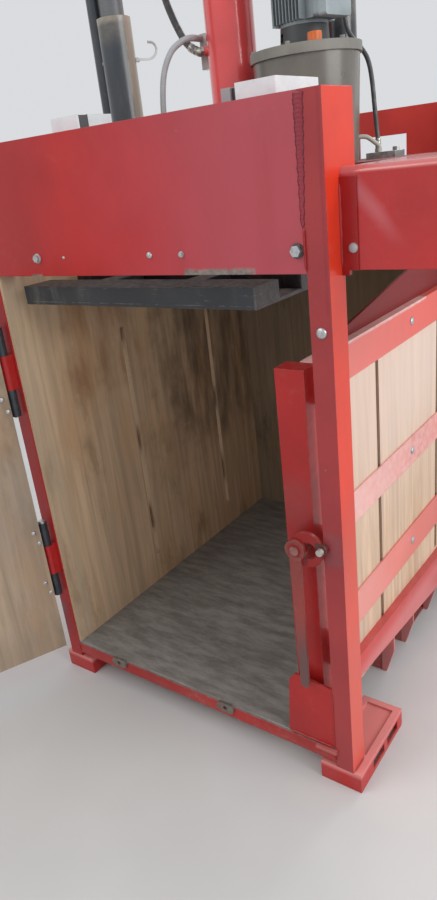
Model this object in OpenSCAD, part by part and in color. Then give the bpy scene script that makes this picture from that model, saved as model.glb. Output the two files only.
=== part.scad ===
// Vertical recycling baler with a boarded pressing chamber, in millimetres.
// The origin is on the floor at the middle of the portal frame, with the front facing -Y.

/* [Main frame] */
// Outer width over the two front posts
frame_w = 1090; // [1000:10:1300]
// Outer depth from the front plane to the rear plane
frame_d = 1320; // [1200:10:1500]
// Height of the post tops above the floor
frame_h = 1716; // [1650:2:1900]
// Width of a post seen from the front
post_w = 50; // [40:2:70]
// Depth of a post seen from the side
post_d = 70; // [60:2:90]
// Wall of the post tube
post_wall = 4; // [3:0.5:6]
// Height of the four feet
foot_h = 60; // [50:1:80]
// Width of a foot
foot_w = 120; // [100:2:140]
// Length of a foot from front to back
foot_d = 284; // [240:2:320]
// How far a foot stands out past the post
foot_out = 22; // [10:1:30]
// Width of the raised rim round a foot
foot_rim = 20; // [14:1:26]

/* [Headers] */
// Height of the front and rear headers
header_h = 333; // [280:1:360]
// Depth of the folded header edges
header_lip = 60; // [40:2:70]
// Sheet of the headers
header_t = 5; // [4:0.5:8]
// Depth of the closed shoulder beside each header
shoulder_d = 131; // [110:1:160]
// Left edge of the hose window in the rear header
window_x = 41; // [0:1:60]
// Width of the hose window
window_w = 172; // [140:1:200]
// Height of the hose window
window_h = 140; // [100:1:160]
// Distance of the hose window from the top of the rear header
window_down = 83; // [60:1:100]

/* [Base] */
// Height of the front sill above the floor
sill_top = 118; // [110:1:130]
// Height of the sill tube
sill_h = 42; // [36:1:50]
// Depth of the sill tube
sill_d = 60; // [50:1:70]
// Thickness of the floor plate
floor_t = 6; // [5:0.5:8]
// Top of the base side rails at their rear end
base_rail_top = 222; // [212:1:240]
// Height of the base side rails at their rear end
base_rail_h = 138; // [126:1:146]
// Rise of the top of a base side rail towards the front
base_rise = 40; // [0:1:60]
// Rise of the lower edge of a base side rail towards the front
base_lift = 116; // [0:1:120]
// Depth of the base side rails
base_rail_t = 25; // [20:1:28]
// Width of a pallet truck channel under the floor
fork_w = 160; // [150:2:180]
// Distance between the middles of the two truck channels
fork_pitch = 380; // [370:5:400]
// Place of the pair of truck channels behind the middle of the frame
fork_y = 98; // [92:1:98]
// Sheet of the truck channels
fork_t = 5; // [4:0.5:6]
// Thickness of the bracket plates under the base rails
bracket_t = 8; // [6:1:8]
// Length of a sill lug
lug_w = 60; // [50:1:80]
// Thickness of a sill lug
lug_t = 10; // [8:1:14]
// Hole through a sill lug
lug_hole_d = 14; // [10:1:16]
// Place of the left lug along the sill
lug_left_x = -297; // [-320:1:-270]
// Place of the right lug along the sill
lug_right_x = 135; // [110:1:160]

/* [Chamber] */
// Inner face of the left wall
wall_xl = -485; // [-485:1:-475]
// Clear width between the boarded side walls
chamber_w = 899; // [860:1:904]
// Thickness of the wall boards
board_t = 27; // [18:1:27]
// Top of the wall boards
board_top = 1166; // [1150:1:1200]
// Thickness of the cap over the boards
rail_cap_t = 6; // [4:1:8]
// Thickness of the lining on the inside of the left post
lining_t = 10; // [6:1:10]
// Width of a strapping slot
slot_w = 20; // [12:1:24]
// Distance of the first strapping slot from the front plane
slot_y0 = 450; // [420:5:480]
// Distance between the strapping slots
slot_pitch = 480; // [440:5:500]
// Bottom of the strapping slots
slot_z0 = 235; // [225:1:260]
// Top of the strapping slots
slot_z1 = 1130; // [1110:5:1140]
// Thickness of the side wall rails
rail_t = 6; // [5:0.5:10]
// Depth of the channel rails on the back wall
back_rail_t = 25; // [20:1:28]
// Distance of the wedge plate's tip from the front plane
wedge_y0 = 150; // [130:5:200]
// Height of the wedge plate at its back end
wedge_h = 168; // [140:2:180]
// Height of the upper wall rail
rail_up_h = 95; // [80:1:100]
// Bottom of the middle wall rail
rail_mid_z = 668; // [650:1:690]
// Height of the middle wall rail
rail_mid_h = 92; // [80:1:100]
// Bottom of the lower wall rail
rail_low_z = 336; // [320:1:350]
// Height of the lower wall rail
rail_low_h = 110; // [90:1:120]
// Diameter of the round bolt heads
bolt_head_d = 24; // [18:1:28]
// Height of the round bolt heads
bolt_head_h = 6; // [4:0.5:8]

/* [Jamb and latch] */
// Width of the latch jamb
jamb_w = 76; // [70:1:80]
// Depth of the latch jamb
jamb_d = 58; // [50:1:60]
// How far the jamb stands behind the front plane
jamb_back = 30; // [25:1:34]
// Top of the latch jamb
jamb_top = 1170; // [1150:1:1180]
// Sheet of the jamb
jamb_t = 5; // [4:0.5:6]
// Height of the latch pivot above the floor
latch_z = 735; // [720:1:750]
// Outer radius of the claw plate
claw_r = 46; // [42:1:50]
// Pivot pin of the latch
latch_pin_d = 24; // [20:1:28]
// Thickness of the claw plate
claw_t = 10; // [8:1:12]
// Length of the hanging lever below the pivot
lever_l = 414; // [380:2:440]
// Width of the lever at its lower end
lever_w = 23; // [20:1:28]

/* [Door] */
// Opening angle of the door as it stands
door_open = 115; // [90:1:120]
// Width of the door board
door_w = 876; // [860:1:880]
// Bottom of the door above the floor
door_z0 = 132; // [128:1:140]
// Top of the door above the floor
door_z1 = 1356; // [1340:1:1366]
// Diameter of the hinge knuckles
knuckle_d = 28; // [26:1:32]
// Diameter of the hinge pins
hinge_pin_d = 14; // [12:1:16]
// Height of a hinge knuckle on the door
knuckle_h = 82; // [76:1:88]
// Height of a hinge knuckle on the post
post_knuckle_h = 105; // [96:1:112]
// Bottom of the lower hinge
hinge_low_z = 330; // [318:1:342]
// Bottom of the upper hinge
hinge_up_z = 970; // [955:1:985]

/* [Press] */
// Middle of the press, left of the middle of the frame
press_x = -45; // [-50:1:-40]
// Height of the platen's lower face as it stands
platen_z = 1298; // [1290:1:1306]
// Width of the platen
platen_w = 776; // [760:2:800]
// Distance of the platen behind the front plane
platen_back = 38; // [34:1:60]
// Depth of the platen
platen_d = 1130; // [1080:5:1138]
// Thickness of the platen plate
platen_t = 8; // [6:1:10]
// Height of the platen beams
beam_h = 42; // [38:1:44]
// Width of the platen beams
beam_w = 100; // [90:1:110]
// Travel of the platen
stroke = 850; // [700:10:860]
// Outer diameter of the cylinder barrel
barrel_d = 138; // [130:1:146]
// Wall of the cylinder barrel
barrel_wall = 10; // [8:0.5:12]
// Diameter of the piston rod
rod_d = 70; // [60:1:80]
// Place of the cylinder in front of the middle of the frame
cyl_y = -42; // [-60:1:-20]
// Outer diameter of a guide sleeve
sleeve_d = 92; // [86:1:98]
// Top of the guide sleeves
sleeve_top = 2000; // [1950:5:2050]
// Outer diameter of a guide tube
guide_d = 62; // [56:1:66]
// Sideways distance of a guide from the cylinder
guide_dx = 228; // [210:1:240]
// Front to back distance of a guide from the cylinder
guide_dy = 222; // [200:1:240]
// Diameter of the black pipe beside the left sleeve
pipe_d = 38; // [34:1:42]
// Height of the black pipe above the bridge
pipe_h = 900; // [700:10:1000]

/* [Top frame] */
// Top of the bridge and the side beams
bridge_top = 1560; // [1550:1:1570]
// Height of the bridge channels and side beams
bridge_h = 130; // [110:2:150]
// Clear space between the two bridge channels
bridge_gap = 170; // [160:2:190]
// Thickness of the bridge plate
bridge_t = 12; // [8:1:15]

/* [Power unit] */
// Upper diameter of the oil tank
tank_d = 280; // [260:2:290]
// Height of the oil tank
tank_h = 262; // [250:2:280]
// Diameter of the tank lid
lid_d = 292; // [280:2:296]
// Height of the tank lid with its clamping rim
lid_t = 24; // [16:1:28]
// Diameter of the motor body without fins
motor_d = 118; // [110:2:130]
// Height of the motor body
motor_h = 220; // [200:5:250]
// Height of a cooling fin
fin_h = 10; // [8:1:13]
// Diameter of the filler cap
cap_d = 34; // [30:1:40]
// Outer diameter of the return hose
hose_d = 22; // [18:1:24]
// Outer diameter of the pressure hose
supply_d = 14; // [12:1:18]
// Outer diameter of the cable conduit
conduit_d = 18; // [14:1:20]

/* [Junction boxes] */
// Place of the left box
box_left_x = -182; // [-200:1:-160]
// Place of the right box
box_right_x = 369; // [350:1:380]
// Width of the left box
box_left_w = 89; // [80:1:110]
// Width of the right box
box_right_w = 98; // [80:1:110]
// Length of the left box from front to back
box_left_d = 123; // [110:1:150]
// Length of the right box from front to back
box_right_d = 180; // [150:2:200]
// Height of the boxes
box_h = 88; // [70:1:100]
// How far the boxes rise above the header
box_up = 36; // [30:1:44]

/* [Side cabinet] */
// Width of the side cabinet
cabinet_w = 300; // [250:5:350]
// Depth of the side cabinet
cabinet_d = 420; // [380:5:440]
// Height of the side cabinet
cabinet_h = 195; // [180:1:205]
// Bottom of the side cabinet
cabinet_z = 1380; // [1370:1:1390]
// Sheet of the side cabinet
cabinet_t = 3; // [2:0.5:4]
// Radius of the cabinet's upper edge
cabinet_r = 14; // [8:1:20]

/* [Hidden] */
$fn = 48;
gap = 0.3;
fit = 0.1;

// Colours
red = [0.66, 0.13, 0.11];
red_side = [0.80, 0.28, 0.22];
ply = [0.78, 0.68, 0.55];
steel = [0.42, 0.42, 0.40];
charcoal = [0.18, 0.19, 0.20];
black = [0.07, 0.08, 0.09];
bright = [0.75, 0.76, 0.77];
white = [0.92, 0.92, 0.93];
tank_grey = [0.45, 0.43, 0.38];
motor_grey = [0.38, 0.42, 0.44];
orange = [0.85, 0.38, 0.12];

// Planes of the frame
x_out = frame_w / 2;
x_in = x_out - post_w;
y_front = -frame_d / 2;
y_rear = frame_d / 2;
header_z = frame_h - header_h;
floor_z = sill_top + floor_t;

// Planes of the chamber
wall_xr = wall_xl + chamber_w;
board_y0 = y_front + jamb_back + jamb_d;
board_y1 = y_rear - post_d - back_rail_t - board_t;
beam_z = bridge_top - bridge_h;
rail_up_z = board_top + rail_cap_t - rail_up_h;
rail_specs = [[rail_low_z, rail_low_h], [rail_mid_z, rail_mid_h], [rail_up_z, rail_up_h]];
top_rail = [beam_z - 100, 94];

// Small parts of the base
foot_x = x_out + foot_out - foot_w / 2;
base_rail_z = base_rail_top - base_rail_h;
bend_y = y_rear - 430;
fork_inset = 19;
foot_lip = 6;

// Latch
jamb_x1 = x_in - 40;
jamb_x0 = jamb_x1 - jamb_w;
latch_x = jamb_x0 + 48;
claw_y = y_front - 3;
claw_mid = [28, 5];
claw_eye = [34, 3];
catch_at = [68, 11];
boss_d = latch_pin_d + 14;
lever_t = 8;

// Door
hinge_x = -x_out + 27;
hinge_y = y_front - knuckle_d / 2 - 8;
door_in_y = y_front - 4;
door_out_y = door_in_y - board_t;
door_rail_t = 22;
knuckle_gap = 0.5;
hinge_h = 2 * knuckle_h + post_knuckle_h + 2 * knuckle_gap;
hinge_leaf = 60;
door_board_x = hinge_x + knuckle_d / 2 + 2;

// Press
plate_top = platen_z + platen_t;
beam_top = plate_top + beam_h;
bore_d = barrel_d - 2 * barrel_wall;
gland_h = 70;
gland_z = bridge_top + bridge_t - gland_h;
barrel_z = bridge_top + bridge_t;
piston_h = 60;
cap_h = 40;
barrel_h = stroke + piston_h + cap_h + 40;
piston_z = barrel_z + stroke + 20;
flange_t = 16;
port_z = barrel_z + barrel_h - cap_h - 30;
port_turn = 25;
port_reach = barrel_d / 2 + 12;
low_port_turn = 206;
low_port_z = barrel_z + 332;
low_port_reach = barrel_d / 2 + 7;
fitting_z = barrel_z + 289;
fitting_h = 91;
fitting_reach = barrel_d / 2 + 28;
fitting_y = cyl_y - 16;
guide_len = stroke + (sleeve_top - bridge_top) + 215;

// Power unit
tank_x = press_x + barrel_d / 2 + tank_d / 2 + 34;
tank_y = cyl_y - 20;
tank_z = bridge_top + bridge_t;
lid_z = tank_z + tank_h;
bell_h = 50;
bell_d = 130;
motor_z = lid_z + lid_t + bell_h;
cap_turn = -50;
cap_place = lid_d / 2 - cap_d / 2 - 11;
valve_x = tank_x + tank_d / 2 + 20;
valve_y = tank_y + 128;
valve_h = 16;

bolt_line = 46;
post_bolt_z = header_z - 120;
header_bolts = [[-x_out + 240, 20, 9], [-x_out + 340, 8, 0], [85, 16, 0], [180, 11, 6],
    [x_in - 19, 24, 11]];
box_turn = -12;
band_at = 9;
band_d = 30;
end_gap = 10;
end_w = 23;
end_d = 66;
suction_d = 12;

// Ends of the hoses
right_port = around([press_x, cyl_y], port_turn, port_reach, port_z);
left_port = [press_x - port_reach, cyl_y, port_z];
low_port = around([press_x, cyl_y], low_port_turn, low_port_reach, low_port_z);
valve_top = [valve_x - 21, valve_y + 6, tank_z + valve_h];
tank_side = around([tank_x, tank_y], 36, (tank_d - 22) / 2 + 3, tank_z + 60);
block_face = [press_x - fitting_reach + 6, fitting_y, fitting_z + 79];

// Routes of the hoses, each as offsets from its two ends
pressure_route = concat(
    from(right_port, [[0.3, 0.1, 0], [9, 4.2, 0], [18, 8.4, 0], [52, 24, 8], [104, 46, -8], [160, 64, -75],
        [202, 78, -190], [218, 82, -340], [221, 83, -450]]),
    from(valve_top, [[-87, 3, 383], [-88, 3, 337], [-75, 3, 299], [-43, 3, 262], [-25, 3, 230],
        [-15, 2, 182], [-8, 1, 108], [-3, 1, 57], [0, 0, 26], [0, 0, 12], [0, 0, 0.3]]));
return_route = concat(
    from(low_port, [[-0.3, -0.1, 0], [-7.2, -3.5, 0], [-14.4, -7, 0], [-38, -9, 13], [-63, -5, 35],
        [-87, 1, 69], [-108, 5, 108], [-127, 9, 152], [-147, 13, 226]]),
    from(left_port, [[-136, -14, -262], [-114, -12, -142], [-79, -8, -62], [-46, -2, -8], [-20, 0, 0],
        [-10, 0, 0], [-0.3, 0, 0]]));
conduit_route = concat(
    [[press_x - 147, cyl_y - 158, tank_z + 0.3], [press_x - 147, cyl_y - 158, tank_z + 108],
        [press_x - 145, cyl_y - 158, tank_z + 198]],
    from(block_face, [[-46, -132, -90], [-32, -107, -35], [-16, -77, -10], [-6, -57, -2], [-2, -42, 0],
        [0, -28, 0], [0, -14, 0], [0, -0.3, 0]]));
suction_route = concat(
    from(tank_side, [[0, 0, 0], [4, 2.9, 0], [8, 5.8, 0], [19, 13.5, -3], [30, 20.5, -12]]),
    from(valve_top, [[13, -26, 16], [13, -26, 8], [13, -26, 0.3]]));

// Shapes used more than once
module box(x0, x1, y0, y1, z0, z1) {
    translate([x0, y0, z0]) cube([x1 - x0, y1 - y0, z1 - z0]);
}

module round_slab(w, d, h, r) {
    linear_extrude(h) offset(r) square([w - 2 * r, d - 2 * r], center = true);
}

module tube_post(w, d, h, t) {
    difference() {
        translate([-w / 2, 0, 0]) cube([w, d, h]);
        translate([-w / 2 + t, t, -1]) cube([w - 2 * t, d - 2 * t, h - t + 1]);
    }
}

module dome_bolt(d, h) {
    // A round head turned from four conical bands
    rotate_extrude($fn = 32) polygon([[0, 0], [d * 0.5, 0], [d * 0.5, h * 0.15], [d * 0.45, h * 0.5],
        [d * 0.34, h * 0.8], [d * 0.18, h * 0.97], [0, h]]);
}

module hex_bolt(d, h) {
    cylinder(d = d * 1.25, h = 2);
    translate([0, 0, 2]) cylinder(d = d, h = h - 2, $fn = 6);
}

function unit(v) = v / norm(v);
function tangent(p, i) = unit(p[min(i + 1, len(p) - 1)] - p[max(i - 1, 0)]);
function side_of(t) = unit(cross(t, abs(t[2]) > 0.9 ? [0, 1, 0] : [0, 0, 1]));
function around(at, turn, r, z) = [at[0] + r * cos(turn), at[1] + r * sin(turn), z];
function from(at, offsets) = [for (o = offsets) at + o];
function carried(n, t) = unit(n - t * (n * t));
function frames(p, i = 0, n = [0, 1, 0], out = []) =
    i == len(p) ? out :
    let (t = tangent(p, i), m = carried(i == 0 ? side_of(t) : n, t))
    frames(p, i + 1, m, concat(out, [[t, m, cross(t, m)]]));
function spline_point(p, i, t) =
    let (a = p[max(i - 1, 0)], b = p[i], c = p[i + 1], d = p[min(i + 2, len(p) - 1)])
    0.5 * (2 * b + (c - a) * t + (2 * a - 5 * b + 4 * c - d) * t * t
        + (3 * b - a - 3 * c + d) * t * t * t);
function smooth_path(p, steps) = concat(
    [for (i = [0 : len(p) - 2]) for (s = [0 : steps - 1]) spline_point(p, i, s / steps)],
    [p[len(p) - 1]]);

module swept_tube(points, d, sides = 10, steps = 3) {
    // A round tube carried along the smoothed route, closed by flat ends
    p = smooth_path(points, steps);
    f = frames(p);
    n = len(p);
    verts = [for (i = [0 : n - 1]) for (s = [0 : sides - 1])
        let (a = 360 * s / sides)
        p[i] + (f[i][1] * cos(a) + f[i][2] * sin(a)) * d / 2];
    quads = [for (i = [0 : n - 2]) for (s = [0 : sides - 1])
        let (u = (s + 1) % sides)
        [i * sides + s, (i + 1) * sides + s, (i + 1) * sides + u, i * sides + u]];
    first = [for (s = [0 : sides - 1]) s];
    last = [for (s = [sides - 1 : -1 : 0]) (n - 1) * sides + s];
    polyhedron(points = verts, faces = concat(quads, [first, last]), convexity = 6);
}

// Portal frame
module post(side, face) {
    // side is -1 left or 1 right, face is -1 front or 1 rear
    translate([side * (x_out - post_w / 2), face < 0 ? y_front : y_rear, foot_h])
    mirror([0, face < 0 ? 0 : 1, 0]) {
        tube_post(post_w, post_d, frame_h - foot_h, post_wall);
        // The deep shoulder that closes the end of the header
        difference() {
            translate([-post_w / 2, post_d, bridge_top - foot_h])
                cube([post_w, shoulder_d - post_d, frame_h - bridge_top]);
            translate([-post_w / 2 + post_wall, post_d, bridge_top - foot_h - 1])
                cube([post_w - 2 * post_wall, shoulder_d - post_d - post_wall,
                    frame_h - bridge_top + 1 - post_wall]);
        }
    }
}

module front_left_post() {
    color(red) post(-1, -1);
}

module front_right_post() {
    color(red_side) post(1, -1);
}

module rear_left_post() {
    color(red) post(-1, 1);
}

module rear_right_post() {
    color(red_side) post(1, 1);
}

module header_channel() {
    // A folded channel that opens towards the machine
    difference() {
        box(-x_in, x_in, 0, header_lip, header_z, frame_h);
        box(-x_in - 1, x_in + 1, header_t, header_lip + 1, header_z + header_t, frame_h - header_t);
    }
}

module front_header() {
    color(red) translate([0, y_front, 0]) header_channel();
}

module rear_header() {
    // The same channel with its flat side towards the machine
    color(red) difference() {
        translate([0, y_rear - header_lip, 0]) header_channel();
        box(window_x, window_x + window_w, y_rear - header_lip - 1, y_rear - header_lip / 2,
            frame_h - window_down - window_h, frame_h - window_down);
    }
}

module sill(face) {
    translate([0, face < 0 ? y_front : y_rear, sill_top - sill_h]) mirror([0, face < 0 ? 0 : 1, 0])
    difference() {
        translate([-x_in, 0, 0]) cube([2 * x_in, sill_d, sill_h]);
        translate([-x_in - 1, post_wall, post_wall])
            cube([2 * x_in + 2, sill_d - 2 * post_wall, sill_h - 2 * post_wall]);
    }
}

module front_sill() {
    color(red) sill(-1);
}

module rear_sill() {
    color(red) sill(1);
}

module foot() {
    // A low box with a raised rim, open at its ends and cut through from the side
    difference() {
        union() {
            translate([-foot_w / 2, 0, 0]) cube([foot_w, foot_d, foot_h - foot_lip]);
            translate([-foot_w / 2, 0, foot_h - foot_lip]) difference() {
                cube([foot_w, foot_d, foot_lip]);
                translate([foot_rim, post_d + 4, -1])
                    cube([foot_w - 2 * foot_rim, foot_d - post_d - 4 - foot_rim, 8]);
            }
        }
        translate([-foot_w / 2 + 6, 30, -1]) cube([foot_w - 12, foot_d - 36, foot_h - 11]);
        for (y = [post_d + 10 : 96 : foot_d - 70])
            translate([-foot_w / 2 - 1, y, 12]) cube([foot_w + 2, 74, foot_h - 30]);
    }
}

module feet() {
    color(red) for (side = [-1, 1]) for (face = [-1, 1])
        translate([side * foot_x, face * frame_d / 2, 0]) mirror([0, face < 0 ? 0 : 1, 0]) foot();
}

module base_outline() {
    // Outline in y and z: the rail is bent up towards the front
    y0 = y_front + post_d;
    y1 = y_rear - post_d;
    polygon([[y0, base_rail_z + base_lift], [bend_y, base_rail_z + 12], [y1, base_rail_z],
        [y1, base_rail_top], [bend_y, base_rail_top + 2], [y0, base_rail_top + base_rise]]);
}

module base_rail(side) {
    // A pan outside the board, on bracket plates beside the truck channels
    translate([side < 0 ? wall_xl - board_t : wall_xr + board_t, 0, 0]) mirror([side < 0 ? 1 : 0, 0, 0]) {
        intersection() {
            rotate([90, 0, 90]) difference() {
                linear_extrude(base_rail_t) base_outline();
                translate([0, 0, -1]) linear_extrude(base_rail_t - 4) offset(delta = -6) base_outline();
            }
            box(-1, base_rail_t + 1, side < 0 ? y_front + post_d : board_y0, y_rear, 0, frame_h);
        }
        for (m = [-1, 1]) for (s = [-1, 1])
            translate([0, fork_y + (m * fork_pitch + s * (fork_w + bracket_t)) / 2 + bracket_t / 2, 0])
            rotate([90, 0, 0]) linear_extrude(bracket_t)
                polygon([[-fork_inset, 0], [-4, 0], [base_rail_t - 2, base_rail_z + 8],
                    [base_rail_t - 2, base_rail_z + 76], [0, base_rail_z + 76], [0, sill_top],
                    [-fork_inset, sill_top]]);
    }
}

module left_base_rail() {
    color(red) base_rail(-1);
}

module right_base_rail() {
    color(red) base_rail(1);
}

module fork_channels() {
    // Two channels with the open side down, across the machine, tied by a sheet on the floor
    x0 = wall_xl - board_t + fork_inset;
    x1 = wall_xr + board_t - fork_inset;
    color(red) translate([0, fork_y, 0]) {
        for (y = [-fork_pitch / 2, fork_pitch / 2]) translate([0, y, 0]) difference() {
            box(x0, x1, -fork_w / 2 - fork_t, fork_w / 2 + fork_t, 0, sill_top);
            box(x0 - 1, x1 + 1, -fork_w / 2, fork_w / 2, -1, sill_top - fork_t);
        }
        box(x0, x1, (fork_w - fork_pitch) / 2 + 1, (fork_pitch - fork_w) / 2 - 1, 0, fork_t);
    }
}

module floor_plate() {
    color(steel) {
        box(wall_xl - board_t, wall_xr + board_t, y_front + post_d, y_rear - post_d, sill_top, floor_z);
        box(-x_in, x_in, y_front + 3, y_front + post_d + 1, sill_top, floor_z);
        box(-x_in, x_in, y_rear - post_d, y_rear - 3, sill_top, floor_z);
    }
}

module sill_lug(x) {
    // A flat lug welded to the sill's face, with a round end and one hole
    translate([x, y_front, sill_top - 7]) rotate([90, 0, 0]) linear_extrude(lug_t) difference() {
        union() {
            square([lug_w - 30, 30], center = true);
            for (s = [-1, 1]) translate([s * (lug_w / 2 - 15), 0]) circle(15);
        }
        circle(d = lug_hole_d);
    }
}

module sill_lugs() {
    color(steel) for (x = [lug_left_x, lug_right_x]) sill_lug(x);
    // A short bar welded in front of the jamb
    color(red) box(x_in - 55, x_in + 6, y_front - 10, y_front, sill_top - 8, sill_top + 2);
}

// Walls
module slotted_board(y0, y1, top) {
    // A board that stands along Y, cut by the two strapping slots
    difference() {
        box(0, board_t, y0, y1, floor_z, top);
        for (i = [0, 1]) translate([-1, y_front + slot_y0 + i * slot_pitch - slot_w / 2, slot_z0])
            cube([board_t + 2, slot_w, slot_z1 - slot_z0]);
    }
}

module right_wall() {
    color(ply) translate([wall_xr, 0, 0]) slotted_board(board_y0, board_y1, board_top);
}

module left_wall() {
    // The left wall reaches up to the beam, and its lining covers the inside of the post
    color(ply) translate([wall_xl - board_t, 0, 0]) slotted_board(y_front + post_d, board_y1, beam_z);
    color(ply) box(wall_xl - lining_t, wall_xl, y_front + 3, y_front + post_d, floor_z, header_z);
}

module back_wall() {
    color(ply) box(wall_xl - board_t, wall_xr + board_t, board_y1, board_y1 + board_t, floor_z, beam_z);
}

module channel_rail(y0, y1, z0, h) {
    // A channel rail along Y with its web outside
    difference() {
        box(0, back_rail_t, y0, y1, z0, z0 + h);
        box(-1, back_rail_t - 5, y0 - 1, y1 + 1, z0 + 6, z0 + h - 6);
    }
}

module right_wall_rails() {
    // Two flat rails, and an angle rail whose upper leg covers the top of the board
    color(red_side) translate([wall_xr + board_t, 0, 0]) {
        for (r = [rail_specs[0], rail_specs[1]])
            box(0, rail_t, board_y0, y_rear - post_d, r[0], r[0] + r[1]);
        difference() {
            box(-board_t, rail_t, board_y0, board_y1, rail_up_z, rail_up_z + rail_up_h);
            box(-board_t - 1, 0, board_y0 - 1, board_y1 + 1, rail_up_z - 1, board_top);
        }
    }
}

module left_wall_rails() {
    color(red) translate([wall_xl - board_t, 0, 0]) for (r = concat(rail_specs, [top_rail]))
        box(-rail_t, 0, y_front + post_d, y_rear - post_d, r[0], r[0] + r[1]);
}

module back_wall_rails() {
    len = wall_xr - wall_xl + 2 * board_t - 2;
    color(red) translate([(wall_xl + wall_xr) / 2, board_y1 + board_t, 0]) rotate([0, 0, 90])
        for (r = concat(rail_specs, [top_rail])) channel_rail(-len / 2, len / 2, r[0], r[1]);
}

module frame_bolts() {
    bolt_y = [board_y0 + 22, y_front + slot_y0 + slot_pitch / 2, board_y1 - 40];
    color(bright) {
        // Round heads on the outside of the wall rails
        for (side = [-1, 1], r = rail_specs, y = bolt_y) {
            x = side < 0 ? wall_xl - board_t - rail_t : wall_xr + board_t + rail_t;
            translate([x, y, r[0] + r[1] / 2]) rotate([0, side * 90, 0])
                dome_bolt(bolt_head_d, bolt_head_h);
        }
        // Bolts along the lower edge of the front header
        for (b = header_bolts) translate([b[0], y_front, header_z + bolt_line]) rotate([90, 0, 0])
            if (b[2] > 0) hex_bolt(b[1], b[2]);
            else dome_bolt(b[1], b[1] / 3);
        // Bolt in the face of the right post
        translate([x_out - post_w / 2, y_front, post_bolt_z]) rotate([90, 0, 0])
            dome_bolt(bolt_head_d, bolt_head_h);
    }
}

module side_gusset() {
    // A wedge plate that stands on the upper rail and rises towards the back
    z0 = board_top + rail_cap_t;
    color(red) translate([wall_xr + 0.5, 0, 0]) rotate([90, 0, 90]) linear_extrude(8)
        polygon([[y_front + wedge_y0, z0], [board_y1, z0], [board_y1, z0 + wedge_h]]);
}

module jamb_channel() {
    // A tall box, closed at its top, that carries the latch
    color(red) translate([jamb_x0, y_front + jamb_back, floor_z]) difference() {
        cube([jamb_w, jamb_d, jamb_top - floor_z]);
        translate([jamb_t, jamb_t, -1])
            cube([jamb_w - 2 * jamb_t, jamb_d - 2 * jamb_t, jamb_top - floor_z - jamb_t + 1]);
    }
}

module jamb_gusset() {
    // A flat plate across the foot of the jamb, with one cut corner
    color(red) translate([0, y_front + 10, 0]) rotate([90, 0, 0]) linear_extrude(8)
        polygon([[jamb_x0 - 28, floor_z], [x_in, floor_z], [x_in, floor_z + 196],
            [jamb_x0 + 4, floor_z + 206], [jamb_x0 - 14, floor_z + 182]]);
    color(red) box(jamb_x0 + 8, jamb_x0 + 30, y_front + 10, y_front + jamb_back, floor_z, floor_z + 150);
}

module wall_stays() {
    // Flat stays between the walls and the posts at every rail height
    color(red) for (r = rail_specs) {
        box(wall_xr + board_t, x_in, y_rear - post_d, y_rear - post_d + 8, r[0], r[0] + r[1]);
        box(jamb_x1, x_in, board_y0 - 14, board_y0 - 8, r[0], r[0] + r[1]);
    }
}

// Top frame
module top_beam(side) {
    translate([side * (x_out - post_w / 2), y_front + post_d, bridge_top - bridge_h]) difference() {
        translate([-post_w / 2, 0, 0]) cube([post_w, frame_d - 2 * post_d, bridge_h]);
        translate([-post_w / 2 + post_wall, -1, post_wall])
            cube([post_w - 2 * post_wall, frame_d, bridge_h - 2 * post_wall]);
    }
}

module top_left_beam() {
    color(red) top_beam(-1);
}

module top_right_beam() {
    color(red) top_beam(1);
}

module bridge_channels() {
    // Two channels across the top, back to back round the cylinder
    color(red) for (s = [-1, 1]) translate([0, cyl_y + s * bridge_gap / 2, bridge_top - bridge_h])
    mirror([0, s < 0 ? 1 : 0, 0]) difference() {
        box(-x_in, x_in, 0, 60, 0, bridge_h);
        box(-x_in - 1, x_in + 1, 7, 61, 8, bridge_h - 8);
    }
}

module guide_places() {
    for (s = [-1, 1]) translate([press_x + s * guide_dx, cyl_y + s * guide_dy, 0]) children();
}

module bridge_plate() {
    // A thick plate on the bridge that carries the cylinder, the guides and the power unit
    color(red) difference() {
        union() {
            box(-x_in, x_in, cyl_y - bridge_gap / 2 - 60, cyl_y + bridge_gap / 2 + 60,
                bridge_top, bridge_top + bridge_t);
            translate([0, 0, bridge_top]) hull() {
                guide_places() cylinder(d = sleeve_d + 92, h = bridge_t);
            }
        }
        translate([press_x, cyl_y, 0]) cylinder(d = bore_d + gap * 2, h = 2 * frame_h);
        guide_places() cylinder(d = guide_d + 4, h = 2 * frame_h);
    }
}

// Press
module cylinder_barrel() {
    color([0.72, 0.14, 0.12]) translate([press_x, cyl_y, barrel_z]) difference() {
        union() {
            cylinder(d = barrel_d, h = barrel_h);
            cylinder(d = barrel_d + 44, h = 14);
            // Bosses of the three ports and the fitting block on the left side
            translate([0, 0, port_z - barrel_z]) {
                rotate([0, -90, 0]) cylinder(d = hose_d + 10, h = port_reach);
                rotate([0, 90, port_turn]) cylinder(d = supply_d + 14, h = port_reach);
            }
            translate([0, 0, low_port_z - barrel_z]) rotate([0, 90, low_port_turn])
                cylinder(d = hose_d + 6, h = low_port_reach);
            translate([-fitting_reach, fitting_y - cyl_y, fitting_z - barrel_z])
                cube([fitting_reach - barrel_d / 2 + 8, 40, fitting_h]);
        }
        translate([0, 0, -1]) cylinder(d = bore_d, h = barrel_h - cap_h + 1);
    }
}

module cylinder_gland() {
    // The guide bush of the rod, held in the bridge plate
    color(steel) translate([press_x, cyl_y, gland_z]) difference() {
        union() {
            cylinder(d = bore_d, h = gland_h);
            cylinder(d = bore_d + 30, h = gland_h - bridge_t);
        }
        translate([0, 0, -1]) cylinder(d = rod_d + fit, h = gland_h + 2);
    }
}

module piston_rod() {
    color(bright) translate([press_x, cyl_y, 0]) {
        translate([0, 0, beam_top + flange_t]) cylinder(d = rod_d, h = piston_z - beam_top - flange_t);
        translate([0, 0, piston_z - 1]) cylinder(d = bore_d - fit, h = piston_h + 1);
    }
}

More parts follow.
